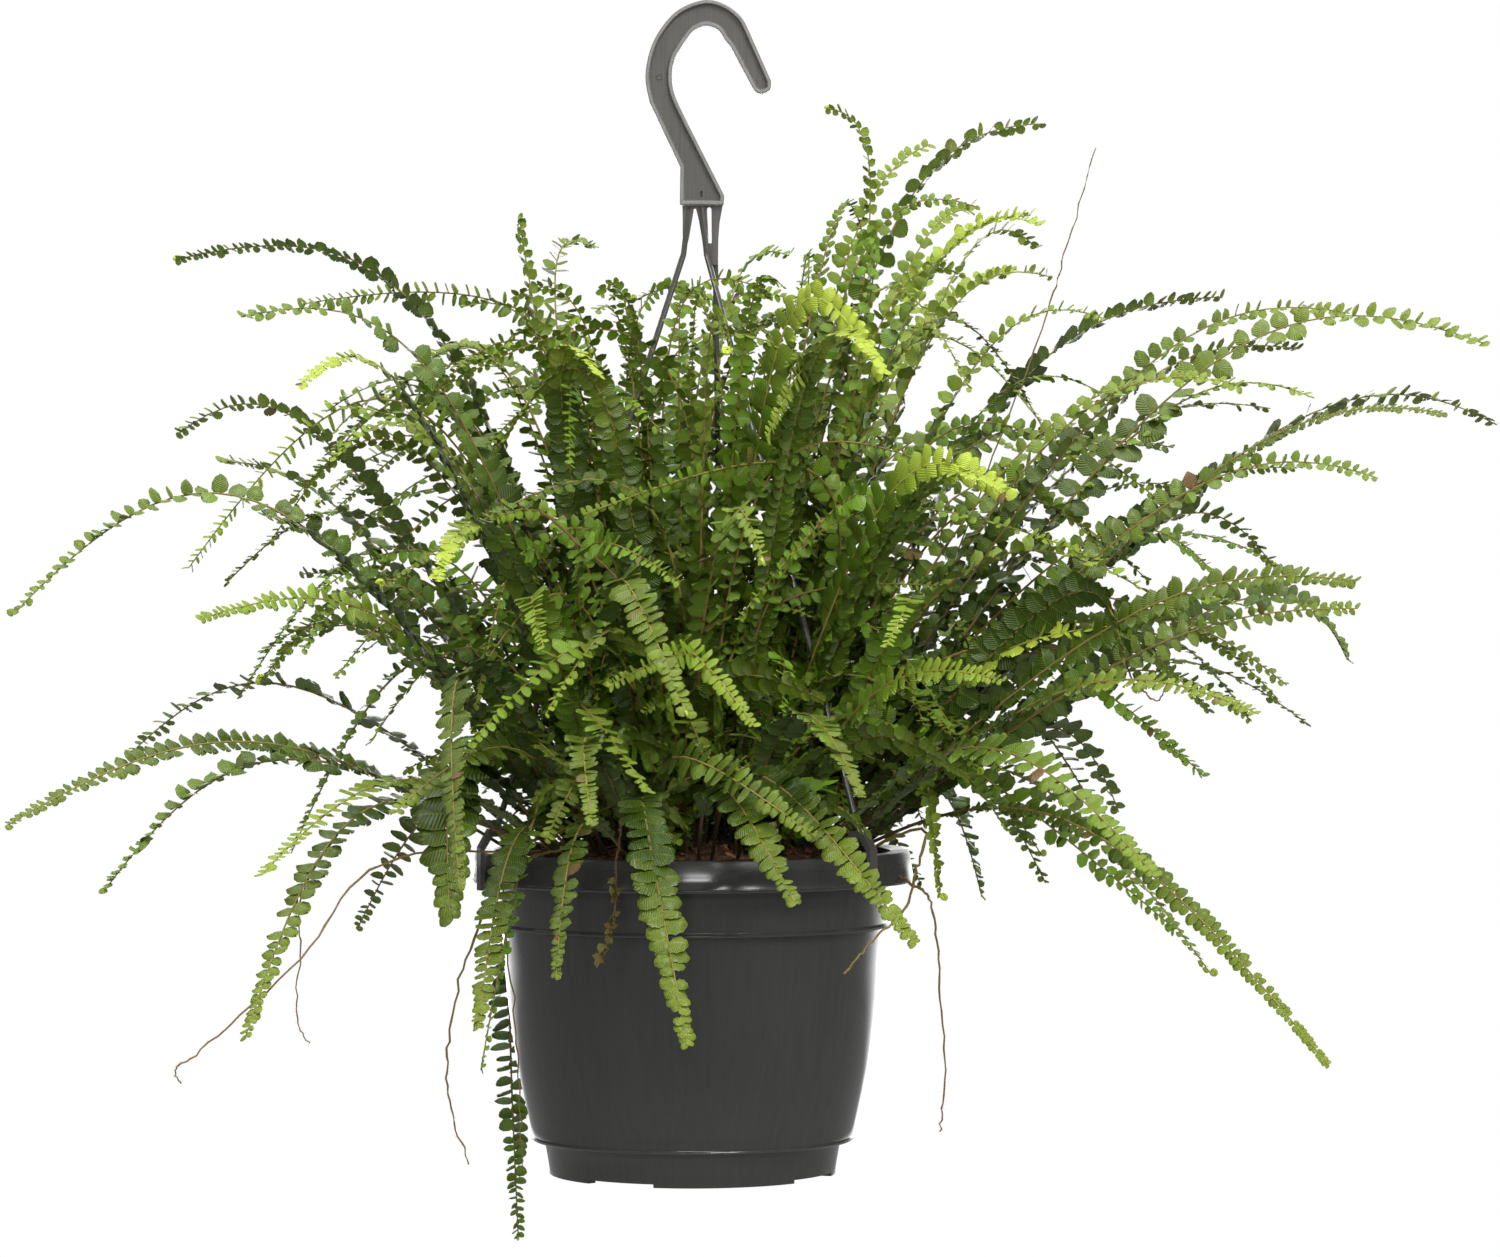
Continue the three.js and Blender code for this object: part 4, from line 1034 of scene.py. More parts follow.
class FERN_OT_pot(bpy.types.Operator):
    """Model the hanging pot, with its folded rim, stepped foot and four low feet"""
    bl_idname = "fern.pot"
    bl_label = "Pot"

    def execute(self, context):
        settings = context.scene.planter
        rim_top = RIM_RADIUS - RIM_FLARE
        # From the middle of the base out, up the outside, over the folded rim and down the inside
        foot = [(BASE_RADIUS - FOOT_WIDTH, -BASE), (BASE_RADIUS - 0.3, -BASE), (BASE_RADIUS + 0.3, -BASE + 4),
                (60.2, -BODY_FOOT - 0.9), (60.6, -BODY_FOOT - 0.3)]
        body = [(64.9, -BODY_FOOT), (65.5, -BODY_FOOT + 0.4), (65.7, -BODY_FOOT + 1.0),
                (65.4, -BODY_FOOT + 1.6), (65.3, -BODY_FOOT + 2.0), (66.3, -111), (69.3, -98), (71.4, -88),
                (73.0, -78), (74.4, -68), (75.6, -58), (76.7, -46), (77.8, -32), (77.9, -BAND_FOOT - 0.3)]
        band = [(80.1, -BAND_FOOT), (80.7, -BAND_FOOT + 0.4), (80.9, -BAND_FOOT + 1.0),
                (80.5, -BAND_FOOT + 1.6), (80.2, -BAND_FOOT + 2.0), (80.9, -22), (81.6, -14.6), (82.2, -6),
                (82.4, -WALL - 0.4)]
        rim = [(rim_top - WALL, -WALL - 0.4), (RIM_RADIUS - WALL, -RIM_DEPTH), (RIM_RADIUS, -RIM_DEPTH),
               (RIM_RADIUS + 0.4, -RIM_DEPTH + 0.5), (RIM_RADIUS + 0.4, -RIM_DEPTH + 1.1),
               (RIM_RADIUS - 0.1, -RIM_DEPTH + 1.8), (rim_top + 0.9, -6.5), (rim_top + 0.2, -1.2),
               (rim_top - 0.7, 0), (81.6, 0)]
        inside = [(80.8, -0.6), (80.2, -RIM_DEPTH), (76.2, -BAND_FOOT - 1), (71.3, -78),
                  (60.6, -BODY_FOOT + 3), (BASE_RADIUS - WALL, -BASE + WALL)]
        clear_selection()
        bpy.ops.mesh.primitive_circle_add(vertices=POT_SIDES, radius=(BASE_RADIUS - FOOT_WIDTH) * MM,
                                          fill_type="NGON",
                                          location=(CROWN[0] * MM, 0, (CROWN[2] - BASE) * MM))
        piece = bpy.context.object
        piece.name = piece.data.name = "hanging_pot"
        bpy.ops.object.mode_set(mode="EDIT")
        bpy.ops.mesh.select_all(action="SELECT")
        draw_up(foot + body + band + rim + inside)
        bpy.ops.object.mode_set(mode="OBJECT")
        bpy.ops.object.transform_apply(location=True, rotation=True, scale=True)
        self.raise_feet(piece)
        finish_piece(piece, [moulded_plastic("glossy_moulded_pot", settings.pot, 0.15, 420.0, 0.14)])
        add_modifier(piece, "BEVEL", width=settings.edge, segments=2, limit_method="ANGLE",
                     angle_limit=math.radians(35))
        only(piece)
        bpy.ops.object.shade_smooth_by_angle(angle=math.radians(30))
        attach(piece, "root")
        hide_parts("pot")
        return {"FINISHED"}

    def raise_feet(self, piece):
        """Draws four arcs of the base's outer band down as feet."""
        centre = Vector((CROWN[0], 0, CROWN[2] - BASE)) * MM

        def on_foot(middle, normal):
            offset = middle - centre
            radius = math.hypot(offset.x, offset.y) / MM
            if abs(offset.z) > 0.1 * MM or not BASE_RADIUS - FOOT_WIDTH < radius < BASE_RADIUS:
                return False
            turn = (math.degrees(math.atan2(offset.y, offset.x)) - FOOT_TURN) % 90
            return turn < FOOT_ARC / 2 or turn > 90 - FOOT_ARC / 2

        only(piece)
        select_faces(piece, on_foot)
        bpy.ops.mesh.extrude_region_move(TRANSFORM_OT_translate={"value": (0, 0, -FOOT_HEIGHT * MM)})
        bpy.ops.object.mode_set(mode="OBJECT")


class FERN_OT_hanger(bpy.types.Operator):
    """Model the hook with its recessed faces, and round the edges of the three strands and their clips"""
    bl_idname = "fern.hanger"
    bl_label = "Hook and strands"

    def execute(self, context):
        colour = context.scene.planter.hanger
        satin = moulded_plastic("satin_moulded_hanger", colour, 0.2, 1500.0, 0.5)
        # The recessed web faces, the ejector mark and the webs under the hook are darker, at 42 % of the
        # hanger's colour: a duller finish, and painted shade of the recess and of the space under the hook.
        dull = moulded_plastic("dull_moulded_web_in_painted_shade", dimmed(colour, 0.42), 0.34, 1500.0, 0.6)
        self.hook(satin, dull)
        glossy = moulded_plastic("glossy_moulded_strands", dimmed(colour, 0.5), 0.08, 1500.0, 0.3)
        for name, angle, top in STRANDS:
            self.strand(name, angle, top, glossy)
        return {"FINISHED"}

    def outline(self):
        """The hook's outline from the solids, in finer steps."""
        spine = [
            [(7.2, HOOK_FOOT), (7.4, -69), (-7.4, -39.8)],
            catmull_rom([(-7.4, -39.8), (-12.8, -28), (-13.9, -19.6), (-12.6, -13), (-10.1, -8.6)], 5)[1:],
            catmull_rom([(-10.1, -8.6), (-7.8, -5.2), (-4.7, -1.7), (0, 0), (4.9, -1.7), (7.6, -5.6)], 5)[1:],
            [(10.1, -8.6), (18.8, -25)],
            catmull_rom([(18.8, -25), (20.4, -27), (22.8, -27.6), (26, -26), (26.4, -22.4)], 5)[1:],
            [(17.6, -2.6)],
            catmull_rom([(17.6, -2.6), (14.2, 3.6), (8, 8.4), (0, 10.4), (-9.4, 7.4), (-16, 1.8), (-22, -8),
                         (-24.6, -20.4), (-22.9, -31.1)], 5)[1:],
            [(-10.4, -57.4), (-10.6, HOOK_FOOT)],
        ]
        return [tuple(point) for run in spine for point in run]

    def hook(self, plastic, dull):
        points = [(x * MM, -HOOK_THICKNESS / 2 * MM, z * MM) for x, z in self.outline()]
        mesh = bpy.data.meshes.new("hook_moulding")
        mesh.from_pydata(points, [], [list(range(len(points)))])
        piece = bpy.data.objects.new("hook_moulding", mesh)
        bpy.context.collection.objects.link(piece)
        only(piece)
        bpy.ops.object.mode_set(mode="EDIT")
        bpy.ops.mesh.select_all(action="SELECT")
        bpy.ops.mesh.extrude_region_move(TRANSFORM_OT_translate={"value": (0, HOOK_THICKNESS * MM, 0)})
        bpy.ops.mesh.select_all(action="SELECT")
        bpy.ops.mesh.normals_make_consistent(inside=False)
        select_faces(piece, lambda middle, normal: abs(normal.y) > 0.9)
        bpy.ops.mesh.inset(thickness=HOOK_FLANGE * MM, depth=0)
        bpy.ops.mesh.inset(thickness=0.3 * MM, depth=-HOOK_RECESS * MM)
        bpy.ops.object.mode_set(mode="OBJECT")
        finish_piece(piece, [plastic])
        add_modifier(piece, "BEVEL", width=0.45 * MM, segments=2, limit_method="ANGLE",
                     angle_limit=math.radians(40))
        self.pocket(piece)
        piece.data.materials.clear()
        for material in (plastic, dull):
            piece.data.materials.append(material)
        web = (HOOK_THICKNESS / 2 - HOOK_RECESS + 0.1) * MM
        for face in piece.data.polygons:
            face.material_index = int(abs(face.center.y) < web and abs(face.normal.y) > 0.9)
        only(piece)
        bpy.ops.object.shade_smooth_by_angle(angle=math.radians(35))
        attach(piece, "root")
        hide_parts("hook")
        self.ejector_mark(dull)
        self.webs(dull)

    def slim_root(self, piece, angle, top):
        """Above its knee, where the solid is thick, the strand is a slim rod; the webs fill the rest."""
        start = CROWN + (top[0], top[1], 0)
        start[2] = HOOK_FOOT
        end = CROWN + turned((CLIP_APEX_RADIUS, 0, CLIP_TOP - 1), angle)
        lean = (end - start)[:2] * STRAND_SPLAY / np.linalg.norm(end - start)
        for vertex in piece.data.vertices:
            below = HOOK_FOOT - vertex.co.z / MM
            if below > GUSSET_LENGTH:
                continue
            middle = start[:2] + lean * below
            offset = np.array(vertex.co[:2]) / MM - middle
            far = np.linalg.norm(offset)
            if far > ROD_RADIUS:
                vertex.co.x, vertex.co.y = (middle + offset * ROD_RADIUS / far) * MM

    def pocket(self, piece):
        """The small deep pocket in the web near the hook's foot."""
        clear_selection()
        bpy.ops.mesh.primitive_cube_add(size=1, scale=(0.9 * MM, 8.0 * MM, 2.4 * MM),
                                        location=(POCKET[0] * MM, -HOOK_THICKNESS / 2 * MM, POCKET[1] * MM))
        cutter = bpy.context.object
        add_modifier(piece, "BOOLEAN", operation="DIFFERENCE", object=cutter, solver="EXACT")
        bpy.data.objects.remove(cutter)

    def ejector_mark(self, plastic):
        """The low round mark of the mould's ejector pin, on the web beside the crook."""
        face = (-HOOK_THICKNESS / 2 + HOOK_RECESS) * MM
        clear_selection()
        bpy.ops.mesh.primitive_cylinder_add(vertices=24, radius=1.25 * MM, depth=0.8 * MM,
                                            location=(EJECTOR_MARK[0] * MM, face, EJECTOR_MARK[1] * MM),
                                            rotation=(math.radians(90), 0, 0))
        mark = bpy.context.object
        mark.name = mark.data.name = "ejector_mark"
        select_faces(mark, lambda middle, normal: abs(normal.z) > 0.9)
        bpy.ops.mesh.inset(thickness=0.35 * MM, depth=0)
        bpy.ops.mesh.inset(thickness=0.2 * MM, depth=-0.25 * MM)
        bpy.ops.object.mode_set(mode="OBJECT")
        finish_piece(mark, [plastic])
        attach(mark, "root")

    def webs(self, plastic):
        """The thin webs that join the strands under the hook, with the slot between two of them."""
        foot = HOOK_FOOT - 0.1
        left = [(-9.6, foot), (-9.5, -78), (-9.5, -90), (-7.9, -90), (-6.9, -86), (-5.6, -78.5),
                (-4.9, -74.2)]
        right = [(-4.1, -74.2), (-2.9, -79), (-1.7, -86), (-0.9, -92), (1.6, -97), (4.9, -97), (5.0, -87),
                 (5.5, -80), (6.5, -74.5), (6.8, foot)]
        points = [(x * MM, -0.9 * MM, z * MM) for x, z in left + right]
        mesh = bpy.data.meshes.new("strand_webs")
        mesh.from_pydata(points, [], [list(range(len(points)))])
        piece = bpy.data.objects.new("strand_webs", mesh)
        bpy.context.collection.objects.link(piece)
        only(piece)
        bpy.ops.object.mode_set(mode="EDIT")
        bpy.ops.mesh.select_all(action="SELECT")
        bpy.ops.mesh.extrude_region_move(TRANSFORM_OT_translate={"value": (0, 1.6 * MM, 0)})
        bpy.ops.object.mode_set(mode="OBJECT")
        finish_piece(piece, [plastic])
        # The slot: a round bar with its top half drawn up and its lower half down
        middle = -84.5 * MM
        clear_selection()
        bpy.ops.mesh.primitive_cylinder_add(vertices=8, radius=0.9 * MM, depth=9 * MM,
                                            location=(1.3 * MM, 0, middle), rotation=(math.radians(90), 0, 0))
        slot = bpy.context.object
        slot.scale.z = 0.5
        bpy.ops.object.transform_apply(location=True, rotation=True, scale=True)
        select_vertices(slot, lambda place: place.z > middle)
        bpy.ops.transform.translate(value=(0, 0, 10 * MM))
        bpy.ops.object.mode_set(mode="OBJECT")
        select_vertices(slot, lambda place: place.z < middle)
        bpy.ops.transform.translate(value=(0.4 * MM, 0, -3 * MM))
        bpy.ops.object.mode_set(mode="OBJECT")
        add_modifier(piece, "BOOLEAN", operation="DIFFERENCE", object=slot, solver="EXACT")
        bpy.data.objects.remove(slot)
        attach(piece, "root")

    def strand(self, name, angle, top, plastic):
        piece = bpy.data.objects.new(name + "_moulding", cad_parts[name].data.copy())
        bpy.context.collection.objects.link(piece)
        finish_piece(piece, [plastic])
        bpy.ops.object.mode_set(mode="EDIT")
        bpy.ops.mesh.select_all(action="SELECT")
        bpy.ops.mesh.dissolve_limited(angle_limit=math.radians(1))
        bpy.ops.object.mode_set(mode="OBJECT")
        self.slim_root(piece, angle, top)
        add_modifier(piece, "BEVEL", width=0.52 * MM, segments=3, limit_method="ANGLE",
                     angle_limit=math.radians(30))
        only(piece)
        bpy.ops.object.shade_smooth_by_angle(angle=math.radians(50))
        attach(piece, "root")
        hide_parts(name)


class FERN_OT_soil(bpy.types.Operator):
    """Model the mounded peat, roughened on top, with loose crumbs and fibres"""
    bl_idname = "fern.soil"
    bl_label = "Soil"

    def execute(self, context):
        settings = context.scene.planter
        rng = np.random.default_rng(11)
        # Up the inside of the pot, a hair clear of its wall, and then over the mound in fine rings
        edge = 78.6
        profile = [(BASE_RADIUS - WALL - 0.6, -BASE + WALL + 0.3), (70.2, -78), (75.4, -BAND_FOOT),
                   (edge, SOIL_EDGE - 2)]
        profile += [(radius, soil_top(radius) - 0.6) for radius in np.linspace(edge, 1.5, 42)]
        clear_selection()
        bpy.ops.mesh.primitive_circle_add(vertices=160, radius=profile[0][0] * MM, fill_type="NGON",
                                          location=(CROWN[0] * MM, 0, (CROWN[2] + profile[0][1]) * MM))
        piece = bpy.context.object
        piece.name = piece.data.name = "peat"
        bpy.ops.object.mode_set(mode="EDIT")
        bpy.ops.mesh.select_all(action="SELECT")
        draw_up(profile)
        bpy.ops.object.mode_set(mode="OBJECT")
        top = piece.vertex_groups.new(name="top")
        for vertex in piece.data.vertices:
            offset = vertex.co + piece.location - Vector(CROWN) * MM
            if offset.z > (SOIL_EDGE - 1.8) * MM:
                inward = SOIL_RADIUS - math.hypot(offset.x, offset.y) / MM
                top.add([vertex.index], min(1.0, inward / 4), "REPLACE")
        lumps = bpy.data.textures.new("peat_lumps", "CLOUDS")
        lumps.noise_scale, lumps.noise_depth = 0.007, 4
        add_modifier(piece, "DISPLACE", texture=lumps, strength=0.005, mid_level=0.5, vertex_group="top",
                     texture_coords="LOCAL")
        finish_piece(piece, [moist_peat(settings.peat)], smooth=60)
        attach(piece, "root")
        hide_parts("soil")
        self.crumbs(settings.crumbs, rng)
        return {"FINISHED"}

    def crumbs(self, count, rng):
        """Loose crumbs of peat and slivers of bark, copies of one rough pebble."""
        clear_selection()
        bpy.ops.mesh.primitive_ico_sphere_add(subdivisions=1, radius=1)
        pebble = bpy.context.object
        bpy.ops.object.mode_set(mode="EDIT")
        bpy.ops.mesh.select_all(action="SELECT")
        bpy.ops.transform.vertex_random(offset=0.35, seed=3)
        bpy.ops.object.mode_set(mode="OBJECT")
        shape = np.array([vertex.co[:] for vertex in pebble.data.vertices])
        faces = np.array([list(face.vertices) for face in pebble.data.polygons])
        bpy.data.objects.remove(pebble)
        for name, share, sizes, material in (
                ("peat_crumbs", 0.8, (0.5, 1.7), bpy.data.materials["moist_peat"]),
                ("bark_slivers", 0.2, (0.5, 0.9), bark_fibre())):
            gathering = Gathering()
            for _ in range(int(count * share)):
                radius = 76.5 * math.sqrt(rng.uniform(0, 1))
                place = turned((radius, 0, soil_top(radius) + rng.uniform(-0.2, 1.0)), rng.uniform(0, 360))
                size = rng.uniform(*sizes)
                if name == "bark_slivers":
                    stretch = np.array((rng.uniform(2.0, 5.0), 0.9, 0.6))
                else:
                    stretch = rng.uniform(0.6, 1.2, 3)
                turn = rng.normal(size=(3, 3))
                turn[:, 0][2] *= 0.25
                axes, _ = np.linalg.qr(turn)
                if np.linalg.det(axes) < 0:
                    axes[:, 2] *= -1
                gathering.add(place + (shape * size * stretch) @ axes.T, faces, 0, (0, 0, 0, 1), (0, 0))
            piece = gathering.make(name, [material], math.radians(20))
            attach(piece, "root")


class FERN_OT_fronds(bpy.types.Operator):
    """Model every single frond with its true leaflets along the midrib that the solid has"""
    bl_idname = "fern.fronds"
    bl_label = "Fronds"

    # A frond is near or foremost when its tip lies before these y, and foremost only when it is also low.
    near_y, foremost_y, foremost_z = -85, -140, 120
    # It hangs when its tip lies under this z, and reaches when it lies further out than this x.
    hanging_z, reaching_x = -100, 130
    # A tip to the right of the first x is in shade, and one to the right of the second has larger leaflets.
    shaded_x, large_x = 200, 250
    # Near fronds that bend above this z are further up the plant, with smaller leaflets.
    high_bend = 180

    def execute(self, context):
        settings = context.scene.fern_leaflets
        fine, medium, plain = (model_leaflet(settings, detail) for detail in ("scalloped", "smooth", "plain"))
        materials = plant_materials(context.scene)
        for index, row in enumerate(FRONDS):
            node = f"frond_{index + 1:02d}"
            midrib = settled(node, lambda attempt: single_frond(row, index, attempt))
            x, y, z = row[1]
            near, hanging, reaching = y < self.near_y, z < self.hanging_z, abs(x) > self.reaching_x
            leaflet = medium if near or hanging or reaching else plain
            if y < self.foremost_y and z < self.foremost_z:
                leaflet = fine
            gathering = Gathering()
            add_frond(gathering, midrib, leaflet, settings, self.look(index, row, near, hanging, reaching),
                      np.random.default_rng(100 + index))
            piece = gathering.make(node + "_leafy", materials)
            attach(piece, "root")
            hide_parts(node)
        return {"FINISHED"}

    def look(self, index, row, near, hanging, reaching):
        """A near frond's leaflets are flat, close and even, a far one's are wilder and wider apart."""
        tip, bright, lime = row[1], row[3], row[4]
        # Brightness is painted light and shade: near fronds are painted darker against the strong front
        # lights, and tips right of shaded_x are painted in shade.
        look = {"bright": bright + 0.1 - 0.55 * near - 0.22 * (tip[0] > self.shaded_x), "lime": lime,
                "size": self.leaflet_size(row, near, hanging), "young_from": 0.68 if lime > 0.7 else 0.4,
                "coil": 1.3 if scatter(index, 0.29) < 0.12 else 0}
        if near:
            look.update(wild=0.2, fold=4 + 8 * scatter(index), facing=0.1, sparse=1.08 if reaching else 0.8,
                        lap=12, round=1.2, bloom=0.0)
        else:
            look.update(wild=0.4 + 0.5 * scatter(index, 0.37), fold=10 + 25 * scatter(index, 0.43),
                        facing=0.2 + 0.35 * scatter(index, 0.31), lap=9, round=1.15, bloom=0.25,
                        sparse=0.95 if hanging else 1.15 + 0.3 * scatter(index, 0.67))
        return look

    def leaflet_size(self, row, near, hanging):
        """The size that the row gives, or else one that suits the frond's place."""
        if len(row) > 5:
            return row[5]
        if hanging:
            return 0.85
        if near:
            return 0.78 if row[0][2] > self.high_bend else 0.88
        return 1.12 if row[1][0] > self.large_x else 0.98


class FERN_OT_tufts(bpy.types.Operator):
    """Model the tufts behind and in the heart of the plant, each from one scaly crown"""
    bl_idname = "fern.tufts"
    bl_label = "Tufts"

    def execute(self, context):
        settings = context.scene.fern_leaflets
        leaflet = model_leaflet(settings, "plain")
        materials = plant_materials(context.scene)
        for tuft_index, tuft in enumerate(TUFTS):
            rng = np.random.default_rng(300 + tuft_index)
            gathering = Gathering()
            for index in range(TUFT_FRONDS):
                midrib = settled(tuft[0], lambda attempt: tuft_frond(tuft, tuft_index, index, attempt))
                look = {"bright": 0.35 + 0.3 * scatter(index + tuft_index),
                        "lime": 0.2 * scatter(index, 0.75), "wild": 0.3 + 0.5 * scatter(index, 0.37),
                        "fold": 25 * scatter(index, 0.43), "facing": 0.3 + 0.5 * scatter(index, 0.31),
                        "sparse": 1.3, "size": 0.9, "bloom": 0.2, "round": 1.1, "stipe": STIPE_LENGTH,
                        "coil": 1.6 * (index % 4 == 1)}
                add_frond(gathering, midrib, leaflet, settings, look, rng)
            self.crown(gathering, tuft)
            piece = gathering.make(tuft[0] + "_leafy", materials)
            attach(piece, "root")
            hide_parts(tuft[0])
        return {"FINISHED"}

    def crown(self, gathering, tuft):
        """The scaly crown that a tuft grows from, half sunk in the soil."""
        middle = turned((tuft[2], 0, soil_top(tuft[2])), tuft[1])
        heights = np.array((-ROOT_DEPTH, -3, 1, 4, 5))
        radii = TUFT_CROWN_RADIUS * np.array((0.9, 1.0, 0.95, 0.75, 0.3))
        points = middle + UP * heights[:, None]
        across, up = (np.tile(axis, (len(heights), 1)) for axis in ((1.0, 0.0, 0.0), (0.0, 1.0, 0.0)))
        add_tube(gathering, points, across, up, radii, 14, STALK, (0.2, 0, 0.9, 1))


class FERN_OT_inner_fronds(bpy.types.Operator):
    """Model the fronds that crowd between the others: upright ones in the heart of the plant, long ones that
    reach out to its sides and low ones that arch over the pot's rim"""
    bl_idname = "fern.inner_fronds"
    bl_label = "Inner fronds"

    bunches = 12
    # How many fronds of each kind a bunch has, in this order
    upright, reaching, low, short = 9, 3, 3, 3

    def execute(self, context):
        settings = context.scene.fern_leaflets
        leaflet = model_leaflet(settings, "plain")
        materials = plant_materials(context.scene)
        kinds = [self.upright_frond] * self.upright + [self.reaching_frond] * self.reaching
        long_ones = len(kinds)
        kinds += [self.low_frond] * self.low + [self.short_frond] * self.short
        for bunch in range(self.bunches):
            rng = np.random.default_rng(500 + bunch)
            gathering = Gathering()
            for index, grow in enumerate(kinds):
                midrib = grow(bunch * len(kinds) + index, rng)
                # Fronds that reach nearer the front are painted lighter: a painted light.
                nearness = -midrib.controls[3][1] / 150
                look = {"bright": np.clip(rng.uniform(0.28, 0.78) + 0.1 * nearness, 0, 1),
                        "lime": 0.3 * rng.uniform(0, 1) ** 3, "wild": rng.uniform(0.3, 1.0),
                        "fold": rng.uniform(-5, 25), "facing": rng.uniform(0.2, 0.9),
                        "sparse": rng.uniform(1.1, 1.45), "hairs": 0.1, "round": 1.1,
                        "stipe": rng.uniform(10, 24) if index < long_ones else rng.uniform(8, 16),
                        "bloom": 0.25 * (self.upright <= index < long_ones),
                        "coil": rng.uniform(1.4, 2.2) * (index < 2)}
                add_frond(gathering, midrib, leaflet, settings, look, rng)
            self.place(gathering, f"inner_fronds_{bunch + 1}", materials)
        self.extra_fronds(settings, materials)
        return {"FINISHED"}

    def extra_fronds(self, settings, materials):
        smooth, plain = model_leaflet(settings, "smooth"), model_leaflet(settings, "plain")
        rng = np.random.default_rng(490)
        gathering = Gathering()
        for bend, tip, roll, bright, lime in EXTRA_FRONDS:
            longest = LEAFLET_LENGTH * rng.uniform(0.85, 1.0)
            midrib = Midrib(root_of(bend, 6), bend, tip, math.radians(roll), longest)
            near = tip[1] < -95
            look = {"bright": bright, "lime": lime, "stipe": 45, "hairs": 0.5}
            if lime >= 1.0:
                look.update(wild=0.2, fold=4, lap=16, size=1.3, round=1.2, young_from=0.6)
            elif near:
                look.update(wild=0.3, fold=8, facing=0.1, lap=14, size=0.85, round=1.1)
            else:
                look.update(wild=0.7, fold=24, facing=0.35, sparse=1.3, size=0.95, round=1.15, bloom=0.2)
            add_frond(gathering, midrib, smooth if near else plain, settings, look, rng)
        self.place(gathering, "extra_fronds", materials)

    def place(self, gathering, name, materials):
        piece = gathering.make(name, materials)
        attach(piece, "root")

    def midrib(self, bend, tip, spread, roll, sizes, rng):
        """A midrib rooted up to the spread from its usual place and turned up to the roll either way."""
        root = root_of(bend, spread * rng.uniform(0, 1))
        turn = math.radians(rng.uniform(-roll, roll))
        return Midrib(root, bend, tip, turn, LEAFLET_LENGTH * rng.uniform(*sizes))

    def upright_frond(self, count, rng):
        """One of the crowd in the heart of the plant, which spreads further sideways than to the front."""
        angle = GOLDEN_ANGLE * count
        reach = 20 + 115 * scatter(count, SECOND_RATIO)
        rise = 105 + 215 * scatter(count, THIRD_RATIO) - 0.25 * reach
        wide = np.array((1.3, 0.9, 1.0))
        bend = turned((reach * 0.7, 0, rise), angle) * wide
        tip = turned((reach * 1.2, 0, rise - reach * rng.uniform(0.1, 1.2)), angle + rng.normal(0, 45)) * wide
        # On the left and under the hook the crowd is lower, so the strands stand clear of it.
        if bend[0] < 35:
            bend[2], tip[2] = min(bend[2], 250), min(tip[2], 225)
        return self.midrib(bend, tip, 14, 110, (0.6, 0.85), rng)

    def reaching_frond(self, count, rng):
        """A long one that reaches out to a side, twice as often to the right as to the left."""
        side = 1 if count % 3 else -1
        rise = 95 + 120 * scatter(count, THIRD_RATIO)
        if side > 0:
            out, on = rng.uniform(105, 200), rng.uniform(45, 95)
        else:
            out, on = rng.uniform(85, 145), rng.uniform(30, 65)
        bend = np.array((side * out, rng.uniform(-70, 80), rise))
        tip = bend + (side * on, rng.uniform(-40, 40), -rng.uniform(-5, 80))
        return self.midrib(bend, tip, 14, 60, (0.75, 0.9), rng)

    def low_frond(self, count, rng):
        """One that arches low over the pot's rim."""
        angle = GOLDEN_ANGLE * count
        reach = 88 + 52 * scatter(count, SECOND_RATIO)
        rise = 42 + 85 * scatter(count, THIRD_RATIO)
        bend = turned((reach * 0.75, 0, rise), angle)
        tip_height = max(rise - reach * rng.uniform(0.1, 0.6), 12)
        tip = turned((reach * 1.1, 0, tip_height), angle + rng.uniform(-30, 30))
        return self.midrib(bend, tip, 14, 60, (0.7, 0.92), rng)

    def short_frond(self, count, rng):
        """One that covers the soil between the stems."""
        angle = GOLDEN_ANGLE * count
        reach = 56 + 44 * scatter(count, SECOND_RATIO)
        rise = 26 + 52 * scatter(count, THIRD_RATIO)
        bend = turned((reach * 0.8, 0, rise), angle)
        tip_height = max(rise - reach * rng.uniform(0.1, 0.6), 8)
        tip = turned((reach * 1.1, 0, tip_height), angle + rng.uniform(-50, 50))
        return self.midrib(bend, tip, 22, 70, (0.6, 0.8), rng)


